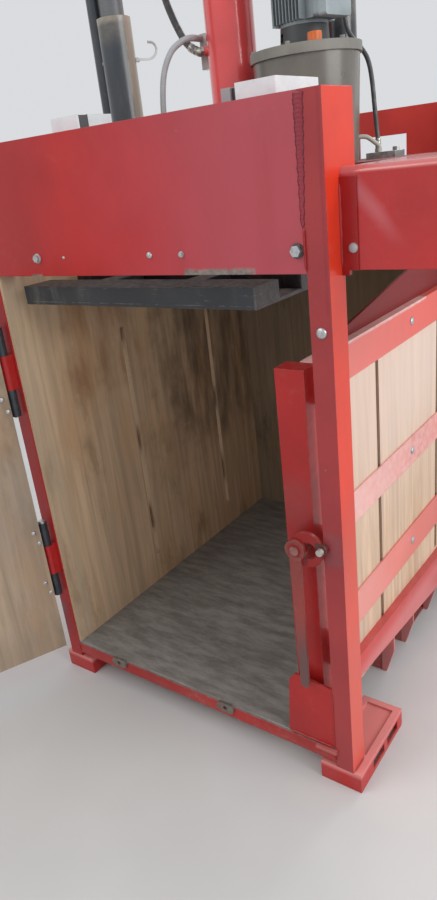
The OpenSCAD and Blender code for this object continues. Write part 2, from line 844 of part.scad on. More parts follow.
module rod_flange() {
    // A square plate under the rod's end with four bolts
    color(charcoal) translate([press_x, cyl_y, beam_top]) {
        translate([0, 0, flange_t / 2]) cube([170, bridge_gap - 30, flange_t], center = true);
        for (x = [-62, 62]) for (y = [-48, 48])
            translate([x, y, flange_t]) cylinder(d = 26, h = 12, $fn = 6);
    }
}

module platen_beam(y) {
    translate([press_x, y, plate_top]) difference() {
        translate([-platen_w / 2, 0, 0]) cube([platen_w, beam_w, beam_h]);
        translate([-platen_w / 2 + 6, 5, -1]) cube([platen_w - 12, beam_w - 10, beam_h - 5]);
    }
}

module platen_beams() {
    // Closed cross beams, with two long ones above the middle
    y0 = y_front + platen_back;
    pitch = (platen_d - beam_w) / 5;
    color(charcoal) union() {
        for (i = [0 : 5]) platen_beam(y0 + i * pitch);
        for (x = [-1, 1]) translate([press_x + x * 150 - 30, y0 + beam_w - 1, plate_top])
            cube([60, platen_d - 2 * beam_w + 2, beam_h]);
        translate([press_x - 120, cyl_y - 75, plate_top]) cube([240, 150, beam_h]);
        guide_places() translate([-60, -60, plate_top]) cube([120, 120, beam_h]);
    }
}

module platen_plate() {
    color(charcoal) box(press_x - platen_w / 2, press_x + platen_w / 2,
        y_front + platen_back, y_front + platen_back + platen_d, platen_z, plate_top);
}

module guide_sleeves() {
    // Black tubes that stand on the bridge plate
    color(black) guide_places() difference() {
        translate([0, 0, bridge_top + bridge_t])
            cylinder(d = sleeve_d, h = sleeve_top - bridge_top - bridge_t);
        cylinder(d = guide_d + fit, h = sleeve_top + 1);
    }
}

module guide_tubes() {
    // Grey tubes that rise through the sleeves with the platen
    color(steel) guide_places() translate([0, 0, beam_top]) difference() {
        union() {
            cylinder(d = guide_d, h = guide_len);
            cylinder(d = guide_d + 40, h = 12);
        }
        translate([0, 0, -1]) cylinder(d = guide_d - 12, h = guide_len - 5);
    }
}

module side_pipe() {
    // A closed pipe strapped to the left sleeve
    px = press_x - guide_dx;
    py = cyl_y - guide_dy;
    off = sleeve_d / 2 + pipe_d / 2 + 1;
    color(black) translate([px - off, py, bridge_top + bridge_t]) {
        difference() {
            cylinder(d = pipe_d, h = pipe_h);
            translate([0, 0, -1]) cylinder(d = pipe_d - 8, h = pipe_h - 4);
        }
        // Two straps that hold it to the sleeve
        for (z = [120, 330]) translate([pipe_d / 2 - 3, -8, z])
            cube([off - pipe_d / 2 - sleeve_d / 2 + 3, 16, 20]);
    }
}

// Power unit
module oil_tank() {
    color(tank_grey) translate([tank_x, tank_y, tank_z]) difference() {
        cylinder(d1 = tank_d - 22, d2 = tank_d, h = tank_h, $fn = 64);
        translate([0, 0, 5]) cylinder(d1 = tank_d - 32, d2 = tank_d - 10, h = tank_h, $fn = 64);
    }
}

module tank_lid() {
    color([0.55, 0.54, 0.50]) translate([tank_x, tank_y, lid_z]) difference() {
        union() {
            cylinder(d = lid_d, h = lid_t);
            for (a = [40 : 60 : 340]) rotate([0, 0, a]) translate([lid_d / 2 - 9, 0, lid_t])
                cylinder(d = 13, h = 7, $fn = 6);
            // Neck under the filler cap
            rotate([0, 0, cap_turn]) translate([cap_place, 0, 0]) cylinder(d = cap_d - 12, h = lid_t + 14);
        }
        rotate([0, 0, cap_turn]) translate([cap_place, 0, -1]) cylinder(d = cap_d - 22, h = lid_t + 30);
        translate([0, 0, -1]) cylinder(d = 70, h = lid_t + 2);
    }
}

module filler_cap() {
    color(orange) translate(around([tank_x, tank_y], cap_turn, cap_place, lid_z + lid_t))
    rotate([0, 0, cap_turn]) difference() {
        union() {
            translate([0, 0, 1]) cylinder(d = cap_d, h = 20);
            for (a = [0 : 30 : 330]) rotate([0, 0, a]) translate([cap_d / 2 - 1, 0, 1])
                cylinder(d = 4, h = 18);
        }
        cylinder(d = cap_d - 12 + fit, h = 14.3);
    }
}

module pump_bell() {
    color(charcoal) translate([tank_x, tank_y, lid_z + lid_t]) difference() {
        union() {
            cylinder(d = bell_d + 14, h = 10);
            cylinder(d1 = bell_d, d2 = bell_d - 6, h = bell_h);
        }
        translate([0, 0, -1]) cylinder(d = 64, h = bell_h + 2);
        for (a = [45, 225]) rotate([0, 0, a]) translate([30, -14, 18]) cube([bell_d / 2, 28, 20]);
    }
}

module motor_fins() {
    // Cooling fins in four fields, all square to their side
    for (q = [0 : 3]) rotate([0, 0, q * 90]) for (i = [-4 : 4])
        translate([i * 11 - 1.5, motor_d / 2 - 14, 8]) cube([3, 14 + fin_h, motor_h - 26]);
}

module electric_motor() {
    color(motor_grey) translate([tank_x, tank_y, motor_z]) rotate([0, 0, box_turn]) {
        difference() {
            union() {
                cylinder(d = motor_d, h = motor_h);
                cylinder(d = motor_d + 6, h = 8);
                translate([0, 0, motor_h - 18]) cylinder(d = motor_d + 2 * fin_h, h = 58);
                motor_fins();
            }
            // Air grille in the fan cover
            for (r = [14 : 11 : 58]) translate([0, 0, motor_h + 36]) difference() {
                cylinder(r = r, h = 5);
                translate([0, 0, -1]) cylinder(r = r - 5, h = 7);
            }
        }
    }
}

module terminal_box() {
    color([0.50, 0.55, 0.57]) translate([tank_x, tank_y, motor_z + 57]) rotate([0, 0, box_turn])
    translate([motor_d / 2 + fin_h + 20, 0, 0]) rotate([90, 0, 90]) {
        translate([0, 0, -20]) round_slab(92, 96, 20, 8);
        round_slab(100, 104, 24, 8);
    }
}

// Hydraulics
module valve_block() {
    color([0.55, 0.57, 0.56]) translate([valve_x, valve_y, bridge_top + bridge_t]) {
        translate([-40, -34, 0]) cube([84, 68, valve_h]);
        translate([26, 20, valve_h]) cylinder(d = 22, h = 10, $fn = 6);
    }
}

module pressure_hose() {
    // From the right port at the top of the barrel over and down to the valve block
    color(black) swept_tube(pressure_route, supply_d);
}

module return_hose() {
    // From the low port of the barrel in a slack bow up to the left port
    color(black) swept_tube(return_route, hose_d);
}

module cable_conduit() {
    // From the bridge plate in an arch up to the fitting block's front
    color([0.62, 0.64, 0.66]) swept_tube(conduit_route, conduit_d);
}

module suction_hose() {
    // A short pipe from the tank's side down to the valve block
    color([0.62, 0.60, 0.55]) swept_tube(suction_route, suction_d);
}

// Electrics
module junction_box(x, w, d) {
    // Places a box behind the header's lip
    translate([x, y_front + header_lip + d / 2, frame_h + box_up - box_h]) children();
}

module junction_boxes() {
    // White boxes behind the upper edge of the header, the left one with a dark middle band
    junction_box(box_left_x, box_left_w, box_left_d) {
        color(white) translate([-box_left_w / 2, -box_left_d / 2, 0]) {
            cube([box_left_w, band_at, box_h]);
            translate([0, band_at + band_d, 0]) cube([box_left_w, box_left_d - band_at - band_d, box_h]);
        }
        color(charcoal) translate([1 - box_left_w / 2, band_at - box_left_d / 2, 0])
            cube([box_left_w - 2, band_d, box_h - 1]);
    }
    // The right one has a dark gap and an end block
    junction_box(box_right_x, box_right_w, box_right_d) {
        color(white) round_slab(box_right_w, box_right_d, box_h, 4);
        color(charcoal) translate([-box_right_w / 2, -box_right_d / 2, 0]) {
            translate([-end_gap, 6, 0]) cube([end_gap, end_d - 6, box_h - 8]);
            translate([-end_gap - end_w, 0, 0]) cube([end_w, end_d, box_h - 6]);
        }
    }
}

module side_cabinet() {
    // A folded casing on the right side; its upper front edge is rounded
    color(red) translate([x_out, y_front + 60, cabinet_z]) difference() {
        rotate([90, 0, 90]) linear_extrude(cabinet_w) union() {
            square([cabinet_d, cabinet_h - cabinet_r]);
            translate([cabinet_r, 0]) square([cabinet_d - cabinet_r, cabinet_h]);
            translate([cabinet_r, cabinet_h - cabinet_r]) circle(cabinet_r);
        }
        translate([cabinet_t, cabinet_t, -1])
            cube([cabinet_w - 2 * cabinet_t, cabinet_d - 2 * cabinet_t, cabinet_h - 2 * cabinet_t - 6]);
    }
}

module cabinet_bracket() {
    color(red) translate([x_out, y_front + 60, cabinet_z]) {
        translate([0, -4, 0]) cube([36, 4, cabinet_h - cabinet_r - 4]);
        translate([0, -4, -10]) cube([16, 12, 10]);
    }
    color(bright) translate([x_out + 26, y_front + 56, cabinet_z + 44]) rotate([90, 0, 0]) dome_bolt(20, 7);
}

// Door
module door_pose() {
    translate([hinge_x, hinge_y, 0]) rotate([0, 0, -door_open]) translate([-hinge_x, -hinge_y, 0]) children();
}

module door_panel() {
    // The board of the door, placed closed and then swung open about the hinge
    color(ply) door_pose()
        box(door_board_x, door_board_x + door_w, door_out_y, door_in_y, door_z0, door_z1);
}

module door_knuckle(z) {
    translate([hinge_x, hinge_y, z]) difference() {
        union() {
            cylinder(d = knuckle_d, h = knuckle_h);
            translate([0, -knuckle_d / 2, 0])
                cube([hinge_leaf, door_out_y - hinge_y + knuckle_d / 2, knuckle_h]);
        }
        translate([0, 0, -1]) cylinder(d = hinge_pin_d + fit, h = knuckle_h + 2);
    }
}

module door_frame() {
    // Channel rails on the outside of the door, with the black knuckles welded to plates
    color(black) door_pose() for (z = [hinge_low_z, hinge_up_z]) {
        door_knuckle(z);
        door_knuckle(z + hinge_h - knuckle_h);
        box(hinge_x + 26, hinge_x + hinge_leaf, door_out_y - 10, door_out_y, z - 10, z + hinge_h + 10);
    }
    color(red) door_pose() for (r = [[door_z0 + 10, 90], [hinge_low_z + 70, 100], [hinge_up_z + 60, 100],
            [door_z1 - 100, 90], [rail_mid_z, rail_mid_h]])
        translate([0, door_out_y - door_rail_t, r[0]]) difference() {
            box(hinge_x + hinge_leaf, door_board_x + door_w, 0, door_rail_t, 0, r[1]);
            box(hinge_x + hinge_leaf + 6, door_board_x + door_w + 1, 5, door_rail_t + 1, 6, r[1] - 6);
        }
}

module frame_knuckles() {
    color(red) for (z = [hinge_low_z, hinge_up_z])
    translate([hinge_x, hinge_y, z + knuckle_h + knuckle_gap]) difference() {
        union() {
            cylinder(d = knuckle_d, h = post_knuckle_h);
            translate([-knuckle_d / 2, 2, 0]) cube([knuckle_d, y_front - hinge_y - 2, post_knuckle_h]);
        }
        translate([0, 0, -1]) cylinder(d = hinge_pin_d + 2 * fit, h = post_knuckle_h + 2);
    }
}

module hinge_pins() {
    color(bright) for (z = [hinge_low_z, hinge_up_z]) translate([hinge_x, hinge_y, z - 4]) {
        cylinder(d = hinge_pin_d, h = hinge_h + 4);
        translate([0, 0, hinge_h + 4]) cylinder(d = hinge_pin_d + 8, h = 8);
    }
}

module door_bolts() {
    // Round heads on the board's inside: a pair beside every black knuckle, a row at the free edge
    color(bright) door_pose() {
        for (z = [hinge_low_z, hinge_up_z]) for (k = [0, hinge_h - knuckle_h]) for (s = [0, 1])
            translate([door_board_x + 10 + s * 11, door_in_y, z + k + 24 + s * 40]) rotate([-90, 0, 0])
                dome_bolt(15, 3.5);
        for (z = [door_z0 + 55, hinge_low_z + 120, rail_mid_z + rail_mid_h / 2, hinge_up_z + 110,
                door_z1 - 55])
            translate([door_board_x + door_w - 60, door_in_y, z]) rotate([-90, 0, 0])
                dome_bolt(bolt_head_d, 3);
    }
}

// Latch
module latch_pivot() {
    // A stepped pin through the jamb's face
    color(bright) translate([latch_x, y_front + jamb_back, latch_z]) rotate([90, 0, 0]) {
        cylinder(d = latch_pin_d + 20, h = jamb_back + 2);
        cylinder(d = latch_pin_d, h = jamb_back + 3 + claw_t + lever_t + 4);
    }
}

module latch_claw() {
    // A claw plate with an eye beside the pivot and a boss round the catch pin
    color([0.55, 0.16, 0.14]) translate([latch_x, claw_y, latch_z]) rotate([90, 0, 0]) difference() {
        union() {
            linear_extrude(claw_t) difference() {
                union() {
                    translate(claw_mid) circle(claw_r);
                    translate(catch_at) circle(15);
                }
                translate(claw_eye) circle(22);
                // The mouth between the eye and the lower edge
                translate([claw_eye[0] - 12, claw_mid[1] - claw_r - 1]) square([7, claw_r]);
            }
            cylinder(d = latch_pin_d + 30, h = claw_t);
            cylinder(d = boss_d, h = claw_t + lever_t);
        }
        translate([0, 0, -1]) cylinder(d = latch_pin_d + fit, h = claw_t + lever_t + 2);
    }
    // Catch pin with a bright head
    color(bright) translate([latch_x + catch_at[0], claw_y, latch_z + catch_at[1]]) rotate([90, 0, 0])
        cylinder(d = 17, h = claw_t + 12);
}

module latch_lever() {
    // A tapering flat bar that hangs from the claw's boss, with a round end
    end_z = lever_w / 2 - lever_l;
    color([0.36, 0.25, 0.22]) translate([latch_x, claw_y - claw_t, latch_z]) rotate([90, 0, 0])
    difference() {
        union() {
            cylinder(d = boss_d + 16, h = lever_t);
            linear_extrude(lever_t) polygon([[-lever_w / 2 - 4, 0], [lever_w / 2 + 4, 0],
                [lever_w / 2, end_z], [-lever_w / 2, end_z]]);
            translate([0, end_z, 0]) cylinder(d = lever_w + 1, h = lever_t);
        }
        translate([0, 0, -1]) cylinder(d = boss_d + 2 * gap, h = lever_t + 2);
    }
}

front_left_post();
front_right_post();
rear_left_post();
rear_right_post();
front_header();
rear_header();
front_sill();
rear_sill();
feet();
left_base_rail();
right_base_rail();
fork_channels();
floor_plate();
sill_lugs();
right_wall();
left_wall();
back_wall();
right_wall_rails();
left_wall_rails();
back_wall_rails();
frame_bolts();
side_gusset();
jamb_channel();
jamb_gusset();
wall_stays();
top_left_beam();
top_right_beam();
bridge_channels();
bridge_plate();
cylinder_barrel();
cylinder_gland();
piston_rod();
rod_flange();
platen_beams();
platen_plate();
guide_sleeves();
guide_tubes();
side_pipe();
oil_tank();
tank_lid();
filler_cap();
pump_bell();
electric_motor();
terminal_box();
valve_block();
pressure_hose();
return_hose();
cable_conduit();
suction_hose();
junction_boxes();
side_cabinet();
cabinet_bracket();
door_panel();
door_frame();
frame_knuckles();
hinge_pins();
door_bolts();
latch_pivot();
latch_claw();
latch_lever();
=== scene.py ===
"""Looks, stage and camera for the recycling baler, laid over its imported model."""

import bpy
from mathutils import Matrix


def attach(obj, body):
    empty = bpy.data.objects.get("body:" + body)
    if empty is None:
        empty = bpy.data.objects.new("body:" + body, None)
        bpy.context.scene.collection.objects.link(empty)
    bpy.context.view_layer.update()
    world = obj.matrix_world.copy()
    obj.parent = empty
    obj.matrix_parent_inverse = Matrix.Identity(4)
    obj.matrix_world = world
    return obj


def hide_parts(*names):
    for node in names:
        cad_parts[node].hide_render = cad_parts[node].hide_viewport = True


bl_info = {
    "name": "Recycling baler looks",
    "version": (1, 0, 0),
    "blender": (4, 5, 0),
    "location": "View3D > Sidebar > Baler",
    "description": "Finishes, welds, dressed hoses, a cable tie and the stage for a recycling baler",
    "category": "Object",
}

import math

import bpy
import numpy as np
from bpy.props import FloatProperty, FloatVectorProperty, IntProperty, PointerProperty
from bpy.types import Operator, Panel, PropertyGroup
from mathutils import Matrix, Vector

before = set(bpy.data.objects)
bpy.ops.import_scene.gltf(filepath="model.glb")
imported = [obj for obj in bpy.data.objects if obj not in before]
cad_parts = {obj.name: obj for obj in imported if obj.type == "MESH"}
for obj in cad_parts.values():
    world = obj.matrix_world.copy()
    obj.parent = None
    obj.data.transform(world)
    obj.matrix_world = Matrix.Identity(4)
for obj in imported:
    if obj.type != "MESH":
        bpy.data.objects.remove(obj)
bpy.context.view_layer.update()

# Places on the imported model, in metres and radians
FRONT = -0.660                       # front plane of the posts
POST_IN, POST_OUT = 0.495, 0.545     # inner and outer side of the front posts
HINGE = (-0.518, -0.682, 0.0)        # the door's axis
KNUCKLE_REACH = 0.062                # the knuckles' farthest point from that axis
DOOR_OPEN = math.radians(115.0)
SLEEVE = (-0.273, -0.264)            # the left guide sleeve's axis
PLY = 0.0045                         # a light and a dark layer of plywood
SHARP = 0.0006                       # half the border between two paints
OPEN = (None, None, None)            # a corner that leaves its box without limits there

# The camera, fitted to the straight edges of the frame: yaw, pitch and roll in degrees, lens in mm
CAMERA_PLACE = (1.189, -1.910, 1.605)
CAMERA_TURNS = (37.82, 22.24, 6.78)
CAMERA_LENS = 27.74

# Lights: name, place, target, width, height, power, colour
LIGHTS = (
    ("key_light", (-1.8, -3.4, 4.2), (-0.1, 0, 0.9), 2.6, 2.0, 62, (1.0, 0.97, 0.93)),
    ("side_light", (6.45, -0.3, 3.45), (0.3, 0, 0.9), 4.2, 3.6, 216, (1.0, 0.99, 0.98)),
    ("back_light", (0.6, 4.4, 4.4), (0, 0, 1.6), 2.2, 1.8, 70, (0.95, 0.98, 1.0)),
)


# -------- settings

def colour_prop(name, text, default):
    """A colour setting in linear red, green and blue."""
    return FloatVectorProperty(name=name, description=text, default=default,
                               subtype="COLOR", size=3, min=0.0, max=1.0)


def length_prop(name, text, default, low, high):
    """A length setting in metres."""
    return FloatProperty(name=name, description=text, default=default,
                         min=low, max=high, subtype="DISTANCE", unit="LENGTH")


class BalerColours(PropertyGroup):
    """Colours of the baler's finishes."""
    enamel: colour_prop("Enamel", "Red enamel of the portal frame", (0.44, 0.016, 0.016))
    # The second red is a lighter copy of the enamel for the right post's side faces: painted light from the side.
    enamel_lit_side: colour_prop("Sidelit enamel", "Lighter red enamel of the side faces", (0.70, 0.042, 0.016))
    board: colour_prop("Board", "Outside of the plywood boards", (0.64, 0.465, 0.335))
    board_inside: colour_prop("Inner board", "Used inside of the plywood boards", (0.66, 0.475, 0.310))
    bare: colour_prop("Bare steel", "Worn steel without paint", (0.20, 0.175, 0.155))
    zinc: colour_prop("Zinc", "Zinc-plated fasteners", (0.56, 0.57, 0.58))
    charcoal: colour_prop("Charcoal", "Paint of the platen", (0.026, 0.029, 0.034))
    sleeve: colour_prop("Sleeve black", "Paint of the guide sleeves", (0.022, 0.028, 0.036))
    tank: colour_prop("Tank", "Paint of the oil tank", (0.165, 0.152, 0.128))
    motor: colour_prop("Motor", "Paint of the motor", (0.26, 0.305, 0.32))
    dust: colour_prop("Dust", "Dust and paper fluff that settles on the machine", (0.36, 0.32, 0.27))


class BalerSizes(PropertyGroup):
    """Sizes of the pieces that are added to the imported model."""
    weld_r: length_prop("Weld bead", "Radius of a fillet weld", 0.0035, 0.002, 0.006)
    weld_pitch: length_prop("Weld ripple", "Distance between two ripples of a weld", 0.006, 0.003, 0.012)
    supply_r: length_prop("Supply hose radius", "Radius of the thin pressure hose", 0.0068, 0.006, 0.007)
    return_r: length_prop("Return hose radius", "Radius of the thick return hose", 0.0108, 0.009, 0.011)
    ferrule: length_prop("Ferrule length", "Length of a crimped hose ferrule", 0.045, 0.03, 0.06)
    tie_w: length_prop("Cable tie width", "Width of the cable tie on the sleeve", 0.008, 0.004, 0.012)
    round_r: length_prop("Edge rounding", "Radius of the worn paint edges", 0.0025, 0.001, 0.005)
    sides: IntProperty(name="Sides", description="Sides of a round hose", default=20, min=8, max=32)


# -------- materials

class Finish:
    """Builds the nodes of one material. The methods after put give back an output socket."""

    def __init__(self, name):
        self.sizes, self.tones = bpy.context.scene.baler_sizes, bpy.context.scene.baler_colours
        self.mat = bpy.data.materials.new(name)
        self.mat.use_nodes = True
        self.tree = self.mat.node_tree
        self.tree.nodes.clear()
        self.bsdf = self.add("ShaderNodeBsdfPrincipled")
        self.add("ShaderNodeOutputMaterial", {0: self.bsdf.outputs[0]})
        self.coords = self.add("ShaderNodeTexCoord").outputs["Object"]

    def add(self, kind, inputs=(), **settings):
        """A new node with its settings and its inputs, named or counted."""
        node = self.tree.nodes.new(kind)
        for key, value in settings.items():
            setattr(node, key, value)
        for key, value in dict(inputs).items():
            self.put(node.inputs[key], value)
        return node

    def put(self, socket, value):
        """Links a socket, or sets a plain value."""
        if isinstance(value, bpy.types.NodeSocket):
            self.tree.links.new(value, socket)
        elif socket.type == "RGBA":
            socket.default_value = (*value, 1.0)
        else:
            socket.default_value = value

    def turned(self, scale=(1, 1, 1), turn=(0, 0, 0)):
        """Object coordinates, scaled and turned."""
        return self.add("ShaderNodeMapping", {0: self.coords, "Rotation": turn, "Scale": scale}).outputs[0]

    def noise(self, scale, detail=3.0, rough=0.55, stretch=None, turn=(0, 0, 0), twist=0.0):
        place = self.turned(stretch, turn) if stretch else self.coords
        return self.add("ShaderNodeTexNoise", {"Vector": place, "Scale": scale, "Detail": detail,
                                               "Roughness": rough, "Distortion": twist}).outputs[0]

    def cells(self, scale):
        return self.add("ShaderNodeTexVoronoi", {"Vector": self.coords, "Scale": scale}).outputs["Distance"]

    def math(self, op, a, b=0.0, clamp=False):
        return self.add("ShaderNodeMath", {0: a, 1: b}, operation=op, use_clamp=clamp).outputs[0]

    def plus(self, a, b, clamp=False):
        return self.math("ADD", a, b, clamp)

    def times(self, value, *factors):
        for factor in factors:
            value = self.math("MULTIPLY", value, factor)
        return value

    def rest(self, share):
        """What a share leaves of 1."""
        return self.math("SUBTRACT", 1.0, share)

    def swing(self, grain, width):
        """A noise's ups and downs round 0, over a band of that width."""
        return self.times(self.math("SUBTRACT", grain, 0.5), width)

    def step(self, value, low, high, out_low=0.0, out_high=1.0):
        """A smooth step from out_low at low to out_high at high."""
        return self.add("ShaderNodeMapRange", {0: value, 1: low, 2: high, 3: out_low, 4: out_high},
                        interpolation_type="SMOOTHSTEP").outputs[0]

    def mix(self, share, a, b):
        return self.add("ShaderNodeMix", {0: share, 6: a, 7: b}, data_type="RGBA").outputs[2]

    def shades(self, value, colour, dark, light, low=0.3, high=0.7):
        """Two shades of one colour: the first where the value is low, the second where it is high."""
        return self.mix(self.step(value, low, high), shaded(colour, dark), shaded(colour, light))

    def vector(self, op, a, b=(0.0, 0.0, 0.0), output="Value"):
        return self.add("ShaderNodeVectorMath", {0: a, 1: b}, operation=op).outputs[output]

    def part(self, vector, letter):
        """One part of a vector."""
        return self.add("ShaderNodeSeparateXYZ", {0: vector}).outputs["XYZ".index(letter)]

    def axis(self, letter):
        return self.part(self.coords, letter)

    def along(self, direction, place):
        """The distance of the object coordinates from a place, measured along one direction."""
        return self.vector("DOT_PRODUCT", self.vector("SUBTRACT", self.coords, place, "Vector"), direction)

    def flat(self):
        """The face's own normal."""
        return self.add("ShaderNodeNewGeometry").outputs["True Normal"]

    def facing(self, letter):
        return self.part(self.flat(), letter)

    def rounded(self, radius):
        """The normal with rounded edges."""
        return self.add("ShaderNodeBevel", {"Radius": radius}, samples=4).outputs[0]

    def worn(self, soft):
        """The share of worn edge: where the rounded normal leaves the flat one."""
        return self.step(self.vector("DOT_PRODUCT", soft, self.flat()), 0.99, 0.80)

    def region(self, low, high, soft=SHARP, wobble=0.0, scale=20.0):
        """1 inside a box of object coordinates and 0 outside, with a soft and uneven border."""
        share = None
        shift = self.swing(self.noise(scale, 4.0, 0.65), 2 * wobble) if wobble else None
        for i, letter in enumerate("XYZ"):
            value = self.axis(letter)
            if shift is not None:
                value = self.plus(value, shift)
            for limit, ends in ((low[i], (0, 1)), (high[i], (1, 0))):
                if limit is None:
                    continue
                side = self.step(value, limit - soft, limit + soft, *ends)
                share = side if share is None else self.times(share, side)
        return share

    def tone_and_light_ramps(self, tone, tone_and_light_ramps):
        """Slow changes of tone along one axis, for real tone as well as painted light and shade: each ramp is
        (letter, start, end, colour, share).
        """
        for letter, start, end, colour, share in tone_and_light_ramps:
            amount = self.plus(self.step(self.axis(letter), start, end),
                               self.swing(self.noise(3.0, 4.0, 0.6), 0.5), clamp=True)
            tone = self.mix(self.times(amount, share), tone, colour)
        return tone

    def stains_and_painted_light(self, tone, stains_and_painted_light, streaky=False):
        """Marks in a box, real stain marks as well as painted light and shade: each mark is (low corner, high corner,
        wobble, colour, share).
        """
        for low, high, wobble, colour, share in stains_and_painted_light:
            body = self.region(low, high, 0.0015 + 0.8 * wobble, wobble, 9.0)
            if streaky:
                grain = self.step(self.noise(9.0, 4.0, 0.6, stretch=(1.6, 1.6, 0.35)), 0.28, 0.66, 0.15)
            else:
                grain = self.step(self.noise(38.0, 5.0, 0.7), 0.28, 0.66, 0.45)
            tone = self.mix(self.times(body, grain, share), tone, colour)
        return tone

    def bump(self, height, strength, distance, normal):
        return self.add("ShaderNodeBump", {"Strength": strength, "Distance": distance,
                                           "Height": height, "Normal": normal}).outputs[0]

    def shade(self, colour, rough, normal=None, metal=0.0, coat=0.0, coat_rough=0.1, specular=0.5):
        """Fills the shader's sockets and gives back the material."""
        for key, value in (("Base Color", colour), ("Roughness", rough), ("Metallic", metal), ("Coat Weight", coat),
                           ("Coat Roughness", coat_rough), ("Specular IOR Level", specular)):
            self.put(self.bsdf.inputs[key], value)
        if normal is not None:
            self.put(self.bsdf.inputs["Normal"], normal)
        return self.mat


def shaded(colour, *factors):
    """A colour made darker or lighter, by one factor or by three for red, green and blue."""
    return tuple(min(1.0, c * k) for c, k in zip(colour, factors * 3))


def enamel(name, colour, wear, dust, gloss, coat=0.12, grime=0.0, front=None, tone_and_light_ramps=(), stains_and_painted_light=(),
           patches=(), parts=(), reflection_bands=()):
    """Brush-touched gloss enamel: uneven tone, settled dust, chipped dots and edges, and bare patches.

    The material's name is the given one and the word enamel. grime is the dirt near the floor and
    front a darker tone on the faces towards the viewer, which is painted shade. patches is a
    list of (low corner, high corner, wobble) where the paint is worn to grey steel, parts one of (low
    corner, high corner, colour) in another paint, and the last list one of (direction, place, half width,
    colour, share, low) of soft lighter bands, painted reflections, that fade out down to the height low."""
    f = Finish(name + " enamel")
    soft = f.rounded(f.sizes.round_r)
    cloud = f.noise(2.2, 4.0, 0.6)
    streak = f.noise(9.0, 4.0, 0.6, stretch=(1.0, 1.0, 0.18))
    tone = f.tone_and_light_ramps(f.shades(cloud, colour, 0.80, 1.12), tone_and_light_ramps)
    # Faces towards the viewer take the darker front tone: painted shade.
    if front is not None:
        tone = f.mix(f.step(f.facing("Y"), -0.5, -0.9), tone, f.shades(cloud, front, 0.84, 1.12))
    tone = f.mix(f.step(streak, 0.48, 0.80, 0.0, 0.24), tone, shaded(colour, 0.62))
    tone = f.stains_and_painted_light(tone, stains_and_painted_light)
    # Soft lighter bands across the paint that fade out downwards: painted reflections.
    for direction, place, half, reflection_tone, share, low in reflection_bands:
        band = f.math("ABSOLUTE", f.plus(f.along(direction, place), f.swing(f.noise(6.0, 4.0), half)))
        fade = f.step(f.axis("Z"), low, low + 0.10)
        tone = f.mix(f.times(f.step(band, half, 0.0, 0.0, share), fade), tone, reflection_tone)
    for low, high, own in parts:
        tone = f.mix(f.region(low, high), tone, f.shades(f.noise(30.0, 4.0), own, 0.85, 1.1))
    # Dust and scuffs: fine grains in soft clouds, more on what faces up
    grain = f.noise(55.0, 5.0, 0.7)
    veil = f.times(f.step(grain, 0.48, 0.78), f.step(f.noise(3.5, 3.0, 0.6), 0.40, 0.72), dust)
    lying = f.times(f.step(f.facing("Z"), 0.2, 0.9), f.step(grain, 0.3, 0.7), dust * 0.9)
    veil = f.plus(veil, lying, clamp=True)
    tone = f.mix(veil, tone, f.tones.dust)
    # Chips: rare spots of bare metal, and knocked edges
    spots = f.times(f.step(f.cells(26.0), 0.10, 0.04), f.step(f.noise(4.0, 2.0), 0.56, 0.66), 0.7)
    knocked = f.times(f.worn(soft), f.step(f.noise(24.0, 5.0, 0.7), 0.50, 0.60))
    bare = f.math("MULTIPLY", f.plus(spots, knocked, clamp=True), wear, clamp=True)
    for low, high, wobble in patches:
        rub = f.times(f.region(low, high, 0.004, wobble, 26.0), f.step(f.noise(70.0, 5.0, 0.75), 0.30, 0.46))
        bare = f.math("MAXIMUM", bare, rub)
    tone = f.mix(bare, tone, f.shades(f.noise(40.0, 4.0, 0.7), f.tones.bare, 0.75, 1.35, 0.35, 0.65))
    if grime:
        dirt = f.times(f.step(f.axis("Z"), 0.16, 0.0), f.step(f.noise(7.0, 4.0, 0.65), 0.25, 0.7), grime)
        tone = f.mix(dirt, tone, shaded(f.tones.dust, 0.8))
    rough = f.plus(f.step(cloud, 0.2, 0.8, gloss - 0.05, gloss + 0.12), f.times(f.plus(veil, bare, clamp=True), 0.30))
    peel = f.bump(f.noise(260.0, 2.0, 0.5), 0.05, 0.0006, soft)
    dents = f.bump(f.noise(7.0, 2.0, 0.5), 0.10, 0.012, peel)
    chip = f.bump(f.rest(bare), 0.35, 0.0008, dents)
    return f.shade(tone, rough, chip, coat=coat, coat_rough=0.16, specular=0.36)


